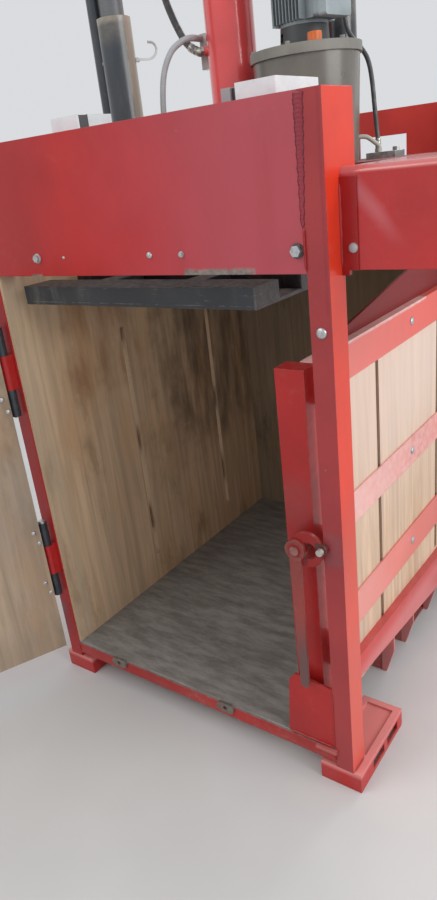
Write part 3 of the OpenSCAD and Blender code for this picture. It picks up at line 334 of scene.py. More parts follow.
def plywood(name, colour, stain, lines=0.35, turn=0.0, thin="X", tone_and_light_ramps=(), stains_and_painted_light=()):
    """Plywood with the grain upright: stretched rings, water stain clouds, scuffs, and plies on the narrow edges.

    lines is how strongly the dark fibres show, turn the board's angle and thin the axis through it."""
    f = Finish(name)
    soft = f.rounded(f.sizes.round_r * 0.8)
    spin = (0, 0, turn)
    rings = f.noise(1.0, 6.0, 0.62, stretch=(26.0, 26.0, 1.1), turn=spin, twist=1.4)
    fibre = f.noise(1.0, 4.0, 0.7, stretch=(330.0, 330.0, 9.0), turn=spin)
    tone = f.shades(rings, colour, 0.80, 1.16, 0.30, 0.72)
    tone = f.mix(f.step(fibre, 0.50, 0.80, 0.0, lines), tone, shaded(colour, 0.60))
    warm = f.noise(2.6, 3.0, 0.6, stretch=(1.6, 1.6, 0.6))
    tone = f.mix(f.step(warm, 0.46, 0.74, 0.0, 0.55 * stain + 0.1), tone, shaded(colour, 1.0, 0.78, 0.56))
    dark = f.step(f.noise(3.4, 5.0, 0.66, stretch=(1.4, 1.4, 0.55)), 0.52, 0.74)
    tone = f.mix(f.times(dark, stain), tone, shaded(colour, 0.36, 0.33, 0.30))
    scuff = f.step(f.noise(1.0, 5.0, 0.75, stretch=(90.0, 90.0, 14.0)), 0.60, 0.72)
    tone = f.mix(f.times(scuff, 0.35), tone, (0.46, 0.40, 0.34))
    tone = f.stains_and_painted_light(f.tone_and_light_ramps(tone, tone_and_light_ramps), stains_and_painted_light, streaky=True)
    # Plies: light and dark layers through the thickness, only where the face is a narrow edge
    layer = f.math("SINE", f.times(f.part(f.turned(turn=spin), thin), 2 * math.pi / PLY))
    own = f.add("ShaderNodeMapping", {0: f.flat(), "Rotation": spin}, vector_type="NORMAL").outputs[0]
    narrow = f.step(f.math("ABSOLUTE", f.part(own, thin)), 0.6, 0.3)
    tone = f.mix(narrow, tone, f.shades(layer, colour, 0.50, 1.05, -0.4, 0.4))
    normal = f.bump(f.plus(fibre, f.times(rings, 0.6)), 0.22, 0.0012, soft)
    return f.shade(tone, f.step(rings, 0.2, 0.8, 0.62, 0.80), normal, specular=0.35)


def bare_steel(name, colour, rough=0.45, rust=0.4, metal=0.75, scratch=(60.0, 6.0, 60.0), parts=()):
    """Worn steel: drawn scratches, brown rust clouds and pale dirt, and boxes that are painted."""
    f = Finish(name)
    soft = f.rounded(f.sizes.round_r * 0.7)
    lines = f.noise(1.0, 5.0, 0.7, stretch=scratch)
    cloud = f.noise(6.0, 5.0, 0.65)
    tone = f.shades(lines, colour, 0.72, 1.30)
    brown = f.times(f.step(cloud, 0.48, 0.66), rust)
    tone = f.mix(brown, tone, (0.115, 0.060, 0.034))
    dirt = f.times(f.step(f.noise(24.0, 5.0, 0.7), 0.52, 0.72), 0.45)
    tone = f.mix(dirt, tone, shaded(f.tones.dust, 0.85))
    tone = f.mix(f.times(f.worn(soft), 0.5), tone, shaded(colour, 1.9))
    share = f.times(f.rest(f.plus(brown, dirt, clamp=True)), metal)
    for low, high, own in parts:
        painted = f.region(low, high)
        tone = f.mix(painted, tone, own)
        share = f.times(share, f.rest(painted))
    gloss = f.plus(f.step(lines, 0.2, 0.8, rough - 0.06, rough + 0.10), f.times(brown, 0.3))
    normal = f.bump(f.plus(lines, cloud), 0.20, 0.0008, soft)
    return f.shade(tone, gloss, normal, metal=share)


def satin_paint(name, colour, gloss, dust, marks, coat=0.0, stains_and_painted_light=(), stripe=None):
    """Machine paint in a dark or grey tone: soft clouds, wiped dust, scratches down to light metal.

    stripe is (direction, place, reach, low, high, colour): dirt down one side of a round piece, from
    reach outwards along the direction, between two heights."""
    f = Finish(name)
    soft = f.rounded(f.sizes.round_r)
    cloud = f.noise(5.0, 4.0, 0.6)
    tone = f.shades(cloud, colour, 0.78, 1.22)
    wipe = f.step(f.noise(16.0, 5.0, 0.7, stretch=(1.0, 1.0, 0.2)), 0.46, 0.74)
    wiped = f.times(wipe, f.step(f.noise(4.0, 3.0), 0.35, 0.65), dust * 0.6)
    lying = f.times(f.step(f.facing("Z"), 0.3, 0.95), f.step(f.noise(60.0, 4.0, 0.7), 0.30, 0.72), dust)
    veil = f.plus(wiped, lying, clamp=True)
    tone = f.mix(veil, tone, f.tones.dust)
    lines = f.noise(1.0, 5.0, 0.8, stretch=(14.0, 14.0, 120.0))
    scratch = f.times(f.step(lines, 0.62, 0.68), marks, 0.6)
    knocked = f.times(f.worn(soft), f.step(f.noise(30.0, 4.0, 0.7), 0.42, 0.58), marks)
    tone = f.mix(f.math("MAXIMUM", scratch, knocked), tone, (0.30, 0.28, 0.26))
    tone = f.stains_and_painted_light(tone, stains_and_painted_light)
    if stripe:
        # Ragged at its borders, and ended behind the piece so that no other one gets it
        direction, place, reach, low, high, dirt = stripe
        ragged = f.swing(f.noise(30.0, 4.0, 0.7, stretch=(1.0, 1.0, 0.35)), 0.010)
        depth = f.plus(f.along(direction, place), ragged)
        side = f.times(f.step(depth, reach - 0.003, reach + 0.003), f.step(depth, 0.065, 0.060))
        height = f.times(f.step(f.axis("Z"), low, low + 0.05), f.step(f.axis("Z"), high, high - 0.02))
        tone = f.mix(f.times(f.times(side, height), 0.8), tone, dirt)
    rough = f.plus(f.step(cloud, 0.2, 0.8, gloss - 0.05, gloss + 0.10), f.times(veil, 0.35))
    return f.shade(tone, rough, f.bump(f.noise(200.0, 2.0), 0.06, 0.0006, soft), coat=coat, coat_rough=0.2)


def plated(name, colour, rough=0.30, dirt=0.35, washers=()):
    """Zinc or chrome: bright metal with dirt in the low places, and boxes that hold a dark washer."""
    f = Finish(name)
    soft = f.rounded(0.0012)
    cloud = f.noise(90.0, 4.0, 0.6)
    tone = f.mix(f.times(f.step(cloud, 0.45, 0.7), dirt), colour, (0.11, 0.095, 0.08))
    for low, high in washers:
        tone = f.mix(f.region(low, high, 0.0004), tone, (0.025, 0.022, 0.022))
    return f.shade(tone, f.step(cloud, 0.2, 0.8, rough, rough + 0.18), soft, metal=0.9)


def moulded(name, colour, rough, dust, grain=420.0, parts=()):
    """Plastic or rubber: fine moulded grain, light dust, and boxes in another colour."""
    f = Finish(name)
    soft = f.rounded(0.0015)
    cloud = f.noise(18.0, 4.0, 0.65)
    tone = f.shades(cloud, colour, 1.0, 0.86, 0.3, 0.75)
    for low, high, own in parts:
        tone = f.mix(f.region(low, high), tone, own)
    veil = f.times(f.step(f.noise(46.0, 5.0, 0.7), 0.45, 0.75), dust)
    tone = f.mix(veil, tone, f.tones.dust)
    normal = f.bump(f.noise(grain, 2.0), 0.10, 0.0005, soft)
    return f.shade(tone, f.step(cloud, 0.2, 0.8, rough, rough + 0.14), normal)


def dress(nodes, material):
    """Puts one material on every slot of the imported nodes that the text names."""
    for node in nodes.split():
        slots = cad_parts[node].data.materials
        if not slots:
            slots.append(material)
        for i in range(len(slots)):
            slots[i] = material


# -------- mesh tools

def placed(name, data):
    """A new object of the scene with that data, at the origin."""
    obj = bpy.data.objects.new(name, data)
    bpy.context.scene.collection.objects.link(obj)
    return obj


def grid_mesh(name, points, material, closed=True, smooth=True):
    """A mesh from a grid of points with shape (rows, columns, 3): four-sided faces between neighbours.

    closed joins the last column to the first and closes both end rows with one face each."""
    rows, cols = points.shape[:2]
    index = np.arange(rows * cols).reshape(rows, cols)
    if closed:
        a, d = index[:-1], index[1:]
        b, c = np.roll(a, -1, axis=1), np.roll(d, -1, axis=1)
    else:
        a, b, c, d = index[:-1, :-1], index[:-1, 1:], index[1:, 1:], index[1:, :-1]
    faces = np.stack([a, b, c, d], axis=-1).reshape(-1, 4).tolist()
    if closed:
        faces += [index[0][::-1].tolist(), index[-1].tolist()]
    mesh = bpy.data.meshes.new(name)
    mesh.from_pydata(points.reshape(-1, 3).tolist(), [], faces)
    mesh.validate()
    mesh.update()
    mesh.materials.append(material)
    mesh.polygons.foreach_set("use_smooth", np.full(len(mesh.polygons), smooth))
    return placed(name, mesh)


def join(name, objects):
    """One mesh out of several, with their materials kept."""
    verts, faces, marks, smooth, mats = [], [], [], [], []
    shift = 0
    for obj in objects:
        mesh = obj.data
        co = np.empty(len(mesh.vertices) * 3)
        mesh.vertices.foreach_get("co", co)
        verts.append(co.reshape(-1, 3))
        for m in mesh.materials:
            if m not in mats:
                mats.append(m)
        for p in mesh.polygons:
            faces.append([v + shift for v in p.vertices])
            marks.append(mats.index(mesh.materials[p.material_index]))
            smooth.append(p.use_smooth)
        shift += len(mesh.vertices)
        bpy.data.objects.remove(obj)
        bpy.data.meshes.remove(mesh)
    mesh = bpy.data.meshes.new(name)
    mesh.from_pydata(np.concatenate(verts).tolist(), [], faces)
    for m in mats:
        mesh.materials.append(m)
    mesh.polygons.foreach_set("material_index", marks)
    mesh.polygons.foreach_set("use_smooth", smooth)
    mesh.update()
    return placed(name, mesh)


def unit(vectors):
    """Vectors at length 1."""
    return vectors / np.linalg.norm(vectors, axis=-1, keepdims=True)


def square_to(tangent, vectors):
    """The part of the vectors that is square to the tangents, at length 1."""
    return unit(vectors - tangent * np.sum(vectors * tangent, axis=-1, keepdims=True))


def circle(sides, u, v):
    """A circle of radius 1 in the plane of two directions."""
    angle = np.linspace(0, 2 * np.pi, sides, endpoint=False)[:, None]
    return np.cos(angle) * u + np.sin(angle) * v


def rounded_route(points, per=10):
    """A smooth route through points: each span is the cubic that passes both ends with the slope
    of their neighbours."""
    p = np.asarray(points, float)
    q = np.concatenate([[2 * p[0] - p[1]], p, [2 * p[-1] - p[-2]]])
    t = np.linspace(0, 1, per, endpoint=False)[:, None]
    a, b, c, d = q[:-3, None], q[1:-2, None], q[2:-1, None], q[3:, None]
    spans = 0.5 * (2 * b + (c - a) * t + (2 * a - 5 * b + 4 * c - d) * t ** 2 + (3 * b - a - 3 * c + d) * t ** 3)
    return np.concatenate([spans.reshape(-1, 3), p[-1:]])


def even_route(route, step):
    """The same route in steps of equal length, and the length up to each point."""
    length = np.concatenate([[0], np.cumsum(np.linalg.norm(np.diff(route, axis=0), axis=1))])
    s = np.linspace(0, length[-1], max(2, int(round(length[-1] / step)) + 1))
    return np.stack([np.interp(s, length, route[:, i]) for i in range(3)], axis=1), s


def carried_frames(route):
    """Two side directions for every point of a route, carried along it without twist."""
    tangent = unit(np.gradient(route, axis=0))
    side = np.array([0.0, 1.0, 0.0] if abs(tangent[0][1]) < 0.8 else [1.0, 0.0, 0.0])
    first = np.empty_like(route)
    for i, t in enumerate(tangent):
        side = square_to(t, side)
        first[i] = side
    return first, np.cross(tangent, first)


def tube(name, route, radius, sides, material):
    """A round tube: at every point of the route a circle of that radius in the plane across it."""
    first, second = carried_frames(route)
    radius = np.broadcast_to(np.asarray(radius, float), (len(route),))
    points = route[:, None] + circle(sides, first[:, None], second[:, None]) * radius[:, None, None]
    return grid_mesh(name, points, material)


def turned_piece(name, profile, place, axis, material, sides):
    """A turned piece: the profile's pairs (radius, height) carried round an axis through place."""
    radius, height = np.array(profile).T[:, :, None, None]
    axis = unit(np.asarray(axis, float))
    helper = np.array([0.0, 0.0, 1.0] if abs(axis[2]) < 0.9 else [1.0, 0.0, 0.0])
    u = unit(np.cross(helper, axis))
    points = place + height * axis + radius * circle(sides, u, np.cross(axis, u))
    return grid_mesh(name, points, material, smooth=False)


def weld_bead(name, start, end, side_a, side_b, material, radius, pitch, seed):
    """A fillet weld along a line: a half round between two sides whose radius ripples as a row of
    overlapping crescents, with a slow wander."""
    start, end, a, b = (np.asarray(v, float) for v in (start, end, side_a, side_b))
    length = np.linalg.norm(end - start)
    s = np.linspace(0, 1, max(4, int(length / (pitch / 4))))[:, None]
    along = s * length
    lean = np.linspace(-0.2, 0.5 * np.pi + 0.2, 9)
    saw = (along / pitch + 0.16 * np.cos(2 * (lean - np.pi / 4))) % 1.0
    swell = 1.0 + 0.22 * (1 - saw) ** 0.7 + 0.10 * np.sin(along * 41 + seed)
    swell = swell + 0.07 * np.sin(along * 173 + 2 * seed)
    fade = np.clip(np.minimum(along, length - along) / (2 * pitch), 0.15, 1)
    middle = (start + (end - start) * s)[:, None]
    reach = (radius * swell * fade)[..., None]
    points = middle + reach * (np.cos(lean)[:, None] * a + np.sin(lean)[:, None] * b)
    # The foot of the bead lies just inside both sides, so the strip closes against them
    foot = middle - 0.001 * (a + b)
    return grid_mesh(name, np.concatenate([points, foot], axis=1), material)


def flat_bead(name, top, foot, half, height, material):
    """A woven weld on the posts' front plane between two points (x, z): a half oval across that narrows
    from half[0] at the top to half[1] at the foot, and whose surface steps in overlapping crescents."""
    z = np.arange(foot[1], top[1], 0.0011)
    t = (z - foot[1]) / (top[1] - foot[1])
    lean = np.linspace(0, np.pi, 13)
    middle = foot[0] + (top[0] - foot[0]) * t ** 0.8 + 0.0007 * np.sin(2 * np.pi * z / 0.023)
    saw = (z[:, None] / 0.0078 + 0.30 * np.cos(lean) ** 2) % 1.0
    end = np.clip(np.minimum(z - foot[1], (top[1] - z) * 3) / 0.008, 0.12, 1.0)[:, None]
    wide = (half[1] + (half[0] - half[1]) * t ** 0.8)[:, None] * (1 + 0.16 * (1 - saw)) * end
    rise = height * (0.60 + 0.40 * (1 - saw) ** 0.7) * end
    x = middle[:, None] + wide * np.cos(lean)
    y = FRONT - rise * np.sin(lean) - 0.0002
    over = np.stack([x, y, np.broadcast_to(z[:, None], x.shape)], axis=-1)
    under = over[:, ::-1].copy()
    under[..., 1] = FRONT + 0.001
    return grid_mesh(name, np.concatenate([over, under], axis=1), material)


# -------- finishes

class BALER_OT_frame_finish(Operator):
    """Red enamel with its wear on the portal frame, rails, jamb and base"""
    bl_idname = "baler.frame_finish"
    bl_label = "Frame finish"

    def execute(self, context):
        c = context.scene.baler_colours
        red = c.enamel
        sill_rub = [((None, None, 0.1165), (None, -0.57, 0.13), 0.004)]
        # Every enamel: name, colour, wear, dust, gloss
        # The header turns pinker towards its right end: painted glare.
        dress("front_header", enamel(
            "header", red, 0.5, 0.07, 0.34,
            tone_and_light_ramps=[("X", -0.20, 0.45, (0.45, 0.078, 0.102), 0.85)],
            stains_and_painted_light=[((-0.12, None, 1.41), (0.10, None, 1.50), 0.10, (0.50, 0.020, 0.018), 0.6)],
            patches=[((0.182, None, 1.380), (0.372, None, 1.396), 0.006),
                     ((-0.34, None, 1.380), (-0.30, None, 1.388), 0.004)]))
        # The rear header takes a lighter copy of the frame red on its inner face: painted light.
        dress("rear_header", enamel("rear header", (0.68, 0.056, 0.044), 0.7, 0.14, 0.36))
        dress("front_left_post", enamel(
            "left post", shaded(red, 0.92), 0.8, 0.10, 0.36,
            stains_and_painted_light=[((-0.56, None, 0.14), (-0.530, -0.652, 0.28), 0.02, (0.115, 0.120, 0.150), 0.6)]))
        # Right post: its lighter red is painted light on the side faces, its darker front tone painted shade on the
        # faces towards the viewer, and its pinker lower part painted glare.
        dress("front_right_post", enamel(
            "post", c.enamel_lit_side, 0.7, 0.05, 0.32, coat=0.1, front=(0.365, 0.039, 0.043),
            tone_and_light_ramps=[("Z", 0.95, 0.35, (0.62, 0.140, 0.110), 0.6)],
            stains_and_painted_light=[((0.500, None, 0.700), (0.541, -0.655, 0.790), 0.012, (0.22, 0.075, 0.085), 0.7),
                    ((0.534, None, 1.30), (0.5405, -0.6595, None), 0.0006, (0.20, 0.014, 0.026), 0.5)]))
        dress("rear_left_post rear_right_post top_left_beam top_right_beam left_wall_rails back_wall_rails "
              "left_base_rail wall_stays frame_knuckles", enamel("frame", red, 0.6, 0.22, 0.34))
        # Wall rails: a pinker red than the frame, pinker still towards the front and low down, paler on the top ledge
        # and over the middle heights: painted glare.
        dress("right_wall_rails", enamel(
            "rail", (0.74, 0.135, 0.105), 0.35, 0.14, 0.36, coat=0.15,
            tone_and_light_ramps=[("Y", 0.20, -0.62, (0.87, 0.54, 0.50), 0.8), ("Z", 1.03, 1.09, (0.74, 0.115, 0.090), 0.75),
                   ("Z", 0.56, 0.44, (0.77, 0.24, 0.20), 0.5)],
            stains_and_painted_light=[((None, -0.60, 1.1655), (None, 0.15, None), 0.003, (0.78, 0.66, 0.62), 0.8),
                    ((None, None, 0.56), (None, 0.35, 0.84), 0.01, (0.88, 0.58, 0.54), 0.6)]))
        # Base rail: the ramps to a pinker red at the bottom and towards the rear are painted glare.
        dress("right_base_rail", enamel(
            "base rail", (0.57, 0.062, 0.058), 0.5, 0.16, 0.40, grime=0.3,
            tone_and_light_ramps=[("Z", 0.235, 0.17, (0.70, 0.26, 0.26), 0.65), ("Y", -0.45, 0.45, (0.56, 0.135, 0.150), 0.35)]))
        # Feet: their tops, from 0.04 to 0.06 m up, turn lighter pink: painted light.
        dress("feet", enamel("foot", shaded(red, 1.1), 0.9, 0.12, 0.38, grime=0.15,
                             tone_and_light_ramps=[("Z", 0.040, 0.060, (0.82, 0.27, 0.26), 0.9)]))
        dress("front_sill", enamel("sill", shaded(red, 0.95), 1.0, 0.40, 0.40, grime=0.35, patches=sill_rub))
        dress("rear_sill fork_channels", enamel("base", shaded(red, 0.95), 1.0, 0.40, 0.40, grime=0.45,
                                                patches=sill_rub))
        # The inner bridge parts take the frame red darkened to 0.55: painted shade.
        dress("bridge_channels bridge_plate", enamel("inner", shaded(red, 0.55), 0.5, 0.35, 0.42, coat=0.05))
        # The wedge behind the header takes the frame red darkened to 0.42: painted shade.
        dress("side_gusset", enamel("wedge", shaded(red, 0.42), 0.3, 0.08, 0.42, coat=0.05))
        # Jamb: the pale pink on its side beyond x 0.4545 is painted light from the side.
        dress("jamb_channel", enamel(
            "jamb", shaded(red, 0.92), 0.8, 0.14, 0.36,
            stains_and_painted_light=[((0.4545, None, None), OPEN, 0.0, (0.56, 0.13, 0.12), 0.7),
                    ((0.375, None, 0.78), (0.456, None, 0.90), 0.03, (0.27, 0.045, 0.045), 0.6)]))
        dress("jamb_gusset", enamel("gusset", shaded(red, 0.95), 0.8, 0.14, 0.36))
        # Cabinet: the red is lightened to 1.18 as painted light, the lighter top edge is a painted highlight, and the
        # slanting pink band is a painted reflection.
        dress("side_cabinet", enamel(
            "cabinet", shaded(red, 1.18), 0.25, 0.14, 0.22, coat=0.6,
            tone_and_light_ramps=[("Z", 1.5595, 1.5665, (0.80, 0.30, 0.29), 0.5)],
            reflection_bands=[((0.80, 0.0, 0.60), (0.615, -0.60, 1.49), 0.024, (0.60, 0.21, 0.24), 0.45, 1.41)]))
        dress("cabinet_bracket", enamel(
            "bracket", shaded(red, 0.8), 0.5, 0.12, 0.30,
            parts=[((0.5600, None, 1.412), (0.5825, -0.6050, 1.436), (0.40, 0.41, 0.42))]))
        dress("floor_plate", bare_steel("floor steel", (0.285, 0.275, 0.262), rough=0.55, rust=0.14, metal=0.20,
                                        scratch=(9.0, 34.0, 30.0)))
        dress("sill_lugs", bare_steel("lug steel", shaded(c.bare, 1.15), rough=0.48, rust=0.75, metal=0.6,
                                      parts=[((0.43, None, None), OPEN, (0.46, 0.12, 0.11))]))
        dress("frame_bolts", plated("zinc bolts", c.zinc, washers=[((0.455, -0.6622, 1.41), (0.495, None, 1.45))]))
        return {"FINISHED"}


class BALER_OT_board_finish(Operator):
    """Plywood on the chamber's walls and the door"""
    bl_idname = "baler.board_finish"
    bl_label = "Board finish"

    def execute(self, context):
        c = context.scene.baler_colours
        # Outer boards: lighter and pinker towards the top: painted light.
        dress("right_wall", plywood(
            "outer board", c.board, 0.16, lines=0.18, tone_and_light_ramps=[("Z", 0.45, 1.02, (0.78, 0.63, 0.56), 0.65)],
            stains_and_painted_light=[((None, -0.58, 0.16), (None, -0.30, 0.32), 0.05, (0.56, 0.46, 0.37), 0.5)]))
        # Inner boards: the very dark mark at the chamber's rear and top is painted shade.
        dress("left_wall", plywood(
            "inner board", c.board_inside, 0.75,
            stains_and_painted_light=[(OPEN, (None, -0.588, None), 0.0, (0.56, 0.44, 0.31), 0.7),
                    ((None, -0.45, 0.95), (None, -0.15, 1.30), 0.12, (0.30, 0.135, 0.060), 0.75),
                    ((None, -0.02, 0.60), (None, 0.60, 1.45), 0.16, (0.115, 0.075, 0.050), 0.8)]))
        # The back board takes the inner board colour darkened to 0.40: painted shade at the back of the chamber.
        dress("back_wall", plywood("back board", shaded(c.board_inside, 0.40), 0.8, thin="Y"))
        dress("door_panel", plywood(
            "door board", (0.43, 0.325, 0.235), 0.62, turn=DOOR_OPEN, thin="Y",
            stains_and_painted_light=[((-0.90, None, 0.55), (-0.55, None, 0.86), 0.14, (0.34, 0.32, 0.31), 0.55),
                    ((None, None, 0.10), (None, None, 0.24), 0.05, (0.28, 0.22, 0.17), 0.5)]))
        return {"FINISHED"}


class BALER_OT_door_finish(Operator):
    """Black knuckles and red rails on the door, bright pins, worn latch"""
    bl_idname = "baler.door_finish"
    bl_label = "Door and latch finish"

    def execute(self, context):
        c = context.scene.baler_colours
        dress("door_frame", self.two_tone("door frame paint", c.enamel, c.sleeve))
        dress("hinge_pins", plated("hinge pin steel", c.zinc, rough=0.25))
        dress("door_bolts", plated("door bolt zinc", c.zinc, rough=0.34, dirt=0.5))
        dress("latch_pivot", plated("pivot steel", (0.42, 0.20, 0.18), rough=0.46, dirt=0.5))
        dress("latch_claw", enamel(
            "latch", shaded(c.enamel, 0.80), 1.0, 0.30, 0.40,
            stains_and_painted_light=[((0.478, None, 0.726), (0.512, None, 0.766), 0.002, (0.060, 0.030, 0.024), 0.9)],
            parts=[((0.4865, None, 0.7375), (0.5035, -0.6745, 0.7545), (0.46, 0.42, 0.39))]))
        dress("latch_lever", enamel("lever", (0.30, 0.050, 0.042), 1.0, 0.30, 0.40,
                                    tone_and_light_ramps=[("Z", 0.56, 0.40, (0.115, 0.075, 0.070), 0.85)]))
        return {"FINISHED"}

    def two_tone(self, name, rail_tone, knuckle_tone):
        """Red rails, and black round the hinge line as far as the knuckles reach."""
        f = Finish(name)
        soft = f.rounded(0.0025)
        reach = f.vector("DISTANCE", f.turned((1, 1, 0)), HINGE)
        near = f.step(reach, KNUCKLE_REACH + 0.0005, KNUCKLE_REACH - 0.0005)
        grain = f.noise(30.0, 5.0, 0.7)
        red = f.shades(f.noise(2.5, 4.0), rail_tone, 0.78, 1.1)
        tone = f.mix(near, red, f.shades(grain, knuckle_tone, 1.0, 1.7, 0.4, 0.7))
        knocked = f.times(f.worn(soft), f.step(grain, 0.48, 0.60), 0.7)
        tone = f.mix(knocked, tone, (0.24, 0.21, 0.19))
        normal = f.bump(f.noise(220.0, 2.0), 0.06, 0.0006, soft)
        return f.shade(tone, f.step(grain, 0.2, 0.8, 0.30, 0.48), normal, coat=0.2)


class BALER_OT_press_finish(Operator):
    """Platen, rod, guides and cylinder"""
    bl_idname = "baler.press_finish"
    bl_label = "Press finish"

    def execute(self, context):
        c = context.scene.baler_colours
        # Cylinder barrel: its red is lighter and pinker than the frame's, a painted highlight.
        dress("cylinder_barrel", enamel(
            "barrel", (0.80, 0.080, 0.082), 0.15, 0.14, 0.14, coat=0.9,
            parts=[((-0.16, -0.0585, 1.855), (-0.1135, -0.017, 1.955), (0.60, 0.59, 0.56))]))
        dress("cylinder_gland", bare_steel("gland steel", (0.30, 0.30, 0.30)))
        dress("piston_rod", plated("rod chrome", (0.72, 0.73, 0.74), rough=0.08, dirt=0.08))
        # Every satin paint: name, colour, gloss, dust, marks
        # Platen: the lighter grey at its right end is dust, and painted light on the lit end face.
        dress("platen_beams platen_plate rod_flange", satin_paint(
            "platen paint", c.charcoal, 0.50, 0.62, 0.7,
            stains_and_painted_light=[((0.338, None, None), OPEN, 0.003, (0.185, 0.180, 0.172), 0.6)]))
        dress("guide_sleeves", satin_paint(
            "sleeve paint", c.sleeve, 0.26, 0.30, 0.25, coat=0.5,
            stains_and_painted_light=[((None, None, 1.986), (None, None, 2.010), 0.007, (0.36, 0.31, 0.24), 0.9),
                    ((None, None, 1.945), (None, None, 1.995), 0.030, (0.22, 0.19, 0.155), 0.5)],
            stripe=((0.94, 0.342, 0.0), (*SLEEVE, 0.0), 0.037, 1.50, 2.02, (0.36, 0.31, 0.245))))
        dress("guide_tubes", satin_paint("guide tube steel", (0.105, 0.108, 0.115), 0.36, 0.25, 0.5))
        dress("side_pipe", satin_paint("pipe paint", shaded(c.sleeve, 1.1), 0.24, 0.15, 0.2, coat=0.5))
        return {"FINISHED"}


class BALER_OT_power_finish(Operator):
    """Tank, motor, valve block, boxes"""
    bl_idname = "baler.power_finish"
    bl_label = "Power unit finish"

    def execute(self, context):
        c = context.scene.baler_colours
        dress("oil_tank", satin_paint("tank paint", c.tank, 0.30, 0.35, 0.2, coat=0.4))
        dress("tank_lid", satin_paint("lid paint", (0.24, 0.232, 0.205), 0.50, 0.9, 0.8))
        dress("pump_bell", satin_paint("bell casting", (0.046, 0.050, 0.052), 0.50, 0.5, 0.3))
        dress("electric_motor", satin_paint("motor paint", c.motor, 0.40, 0.35, 0.3))
        dress("terminal_box", satin_paint("terminal box paint", shaded(c.motor, 1.15), 0.38, 0.25, 0.3))
        dress("valve_block", bare_steel("valve alloy", (0.42, 0.43, 0.43), rough=0.40, rust=0.05, metal=0.8))
        dress("filler_cap", moulded("cap plastic", (0.72, 0.155, 0.022), rough=0.32, dust=0.2))
        dress("junction_boxes", moulded(
            "box plastic", (0.78, 0.83, 0.85), rough=0.36, dust=0.06,
            parts=[((-0.23, -0.5915, None), (-0.13, -0.5605, None), (0.090, 0.092, 0.098)),
                   ((0.30, None, None), (0.3195, -0.5, None), (0.035, 0.036, 0.040)),
                   ((0.28, None, None), (0.3105, -0.5, None), (0.33, 0.34, 0.35))]))
        return {"FINISHED"}


# -------- pieces

# Middle lines of the hoses in millimetres, from port to port
HOSE_ROUTES = {
    "pressure_hose": [
        (28.7, -7.7, 2492), (37.4, -3.6, 2492), (46.4, 0.6, 2492), (80.4, 16.2, 2500), (132.4, 38.2, 2484),
        (188.4, 56.2, 2417), (230.4, 70.2, 2302), (246.4, 74.2, 2152), (249.4, 75.2, 2042), (250, 75, 1971),
        (249, 75, 1925), (262, 75, 1887), (294, 75, 1850), (312, 75, 1818), (322, 74, 1770), (329, 73, 1696),
        (334, 73, 1645), (337, 72, 1614), (337, 72, 1600), (337, 72, 1588.3)],
    "return_hose": [
        (-113.6, -75.4, 1904), (-120.5, -78.8, 1904), (-127.7, -82.3, 1904), (-151.3, -84.3, 1917),
        (-176.3, -80.3, 1939), (-200.3, -74.3, 1973), (-221.3, -70.3, 2012), (-240.3, -66.3, 2056),
        (-260.3, -62.3, 2130), (-262, -56, 2230), (-240, -54, 2350), (-205, -50, 2430), (-172, -44, 2484),
        (-146, -42, 2492), (-136, -42, 2492), (-126.3, -42, 2492)],
    "cable_conduit": [
        (-192, -200, 1572.3), (-192, -200, 1680), (-190, -200, 1770), (-182, -190, 1850), (-168, -165, 1905),
        (-152, -135, 1930), (-142, -115, 1938), (-138, -100, 1940), (-136, -86, 1940), (-136, -72, 1940),
        (-136, -58.3, 1940)],
    "suction_hose": [
        (304.8, 15.6, 1632), (308.8, 18.5, 1632), (312.8, 21.4, 1632), (323.8, 29.1, 1629), (334.8, 36.1, 1620),
        (350, 46, 1604), (350, 46, 1596), (350, 46, 1588.3)],
}


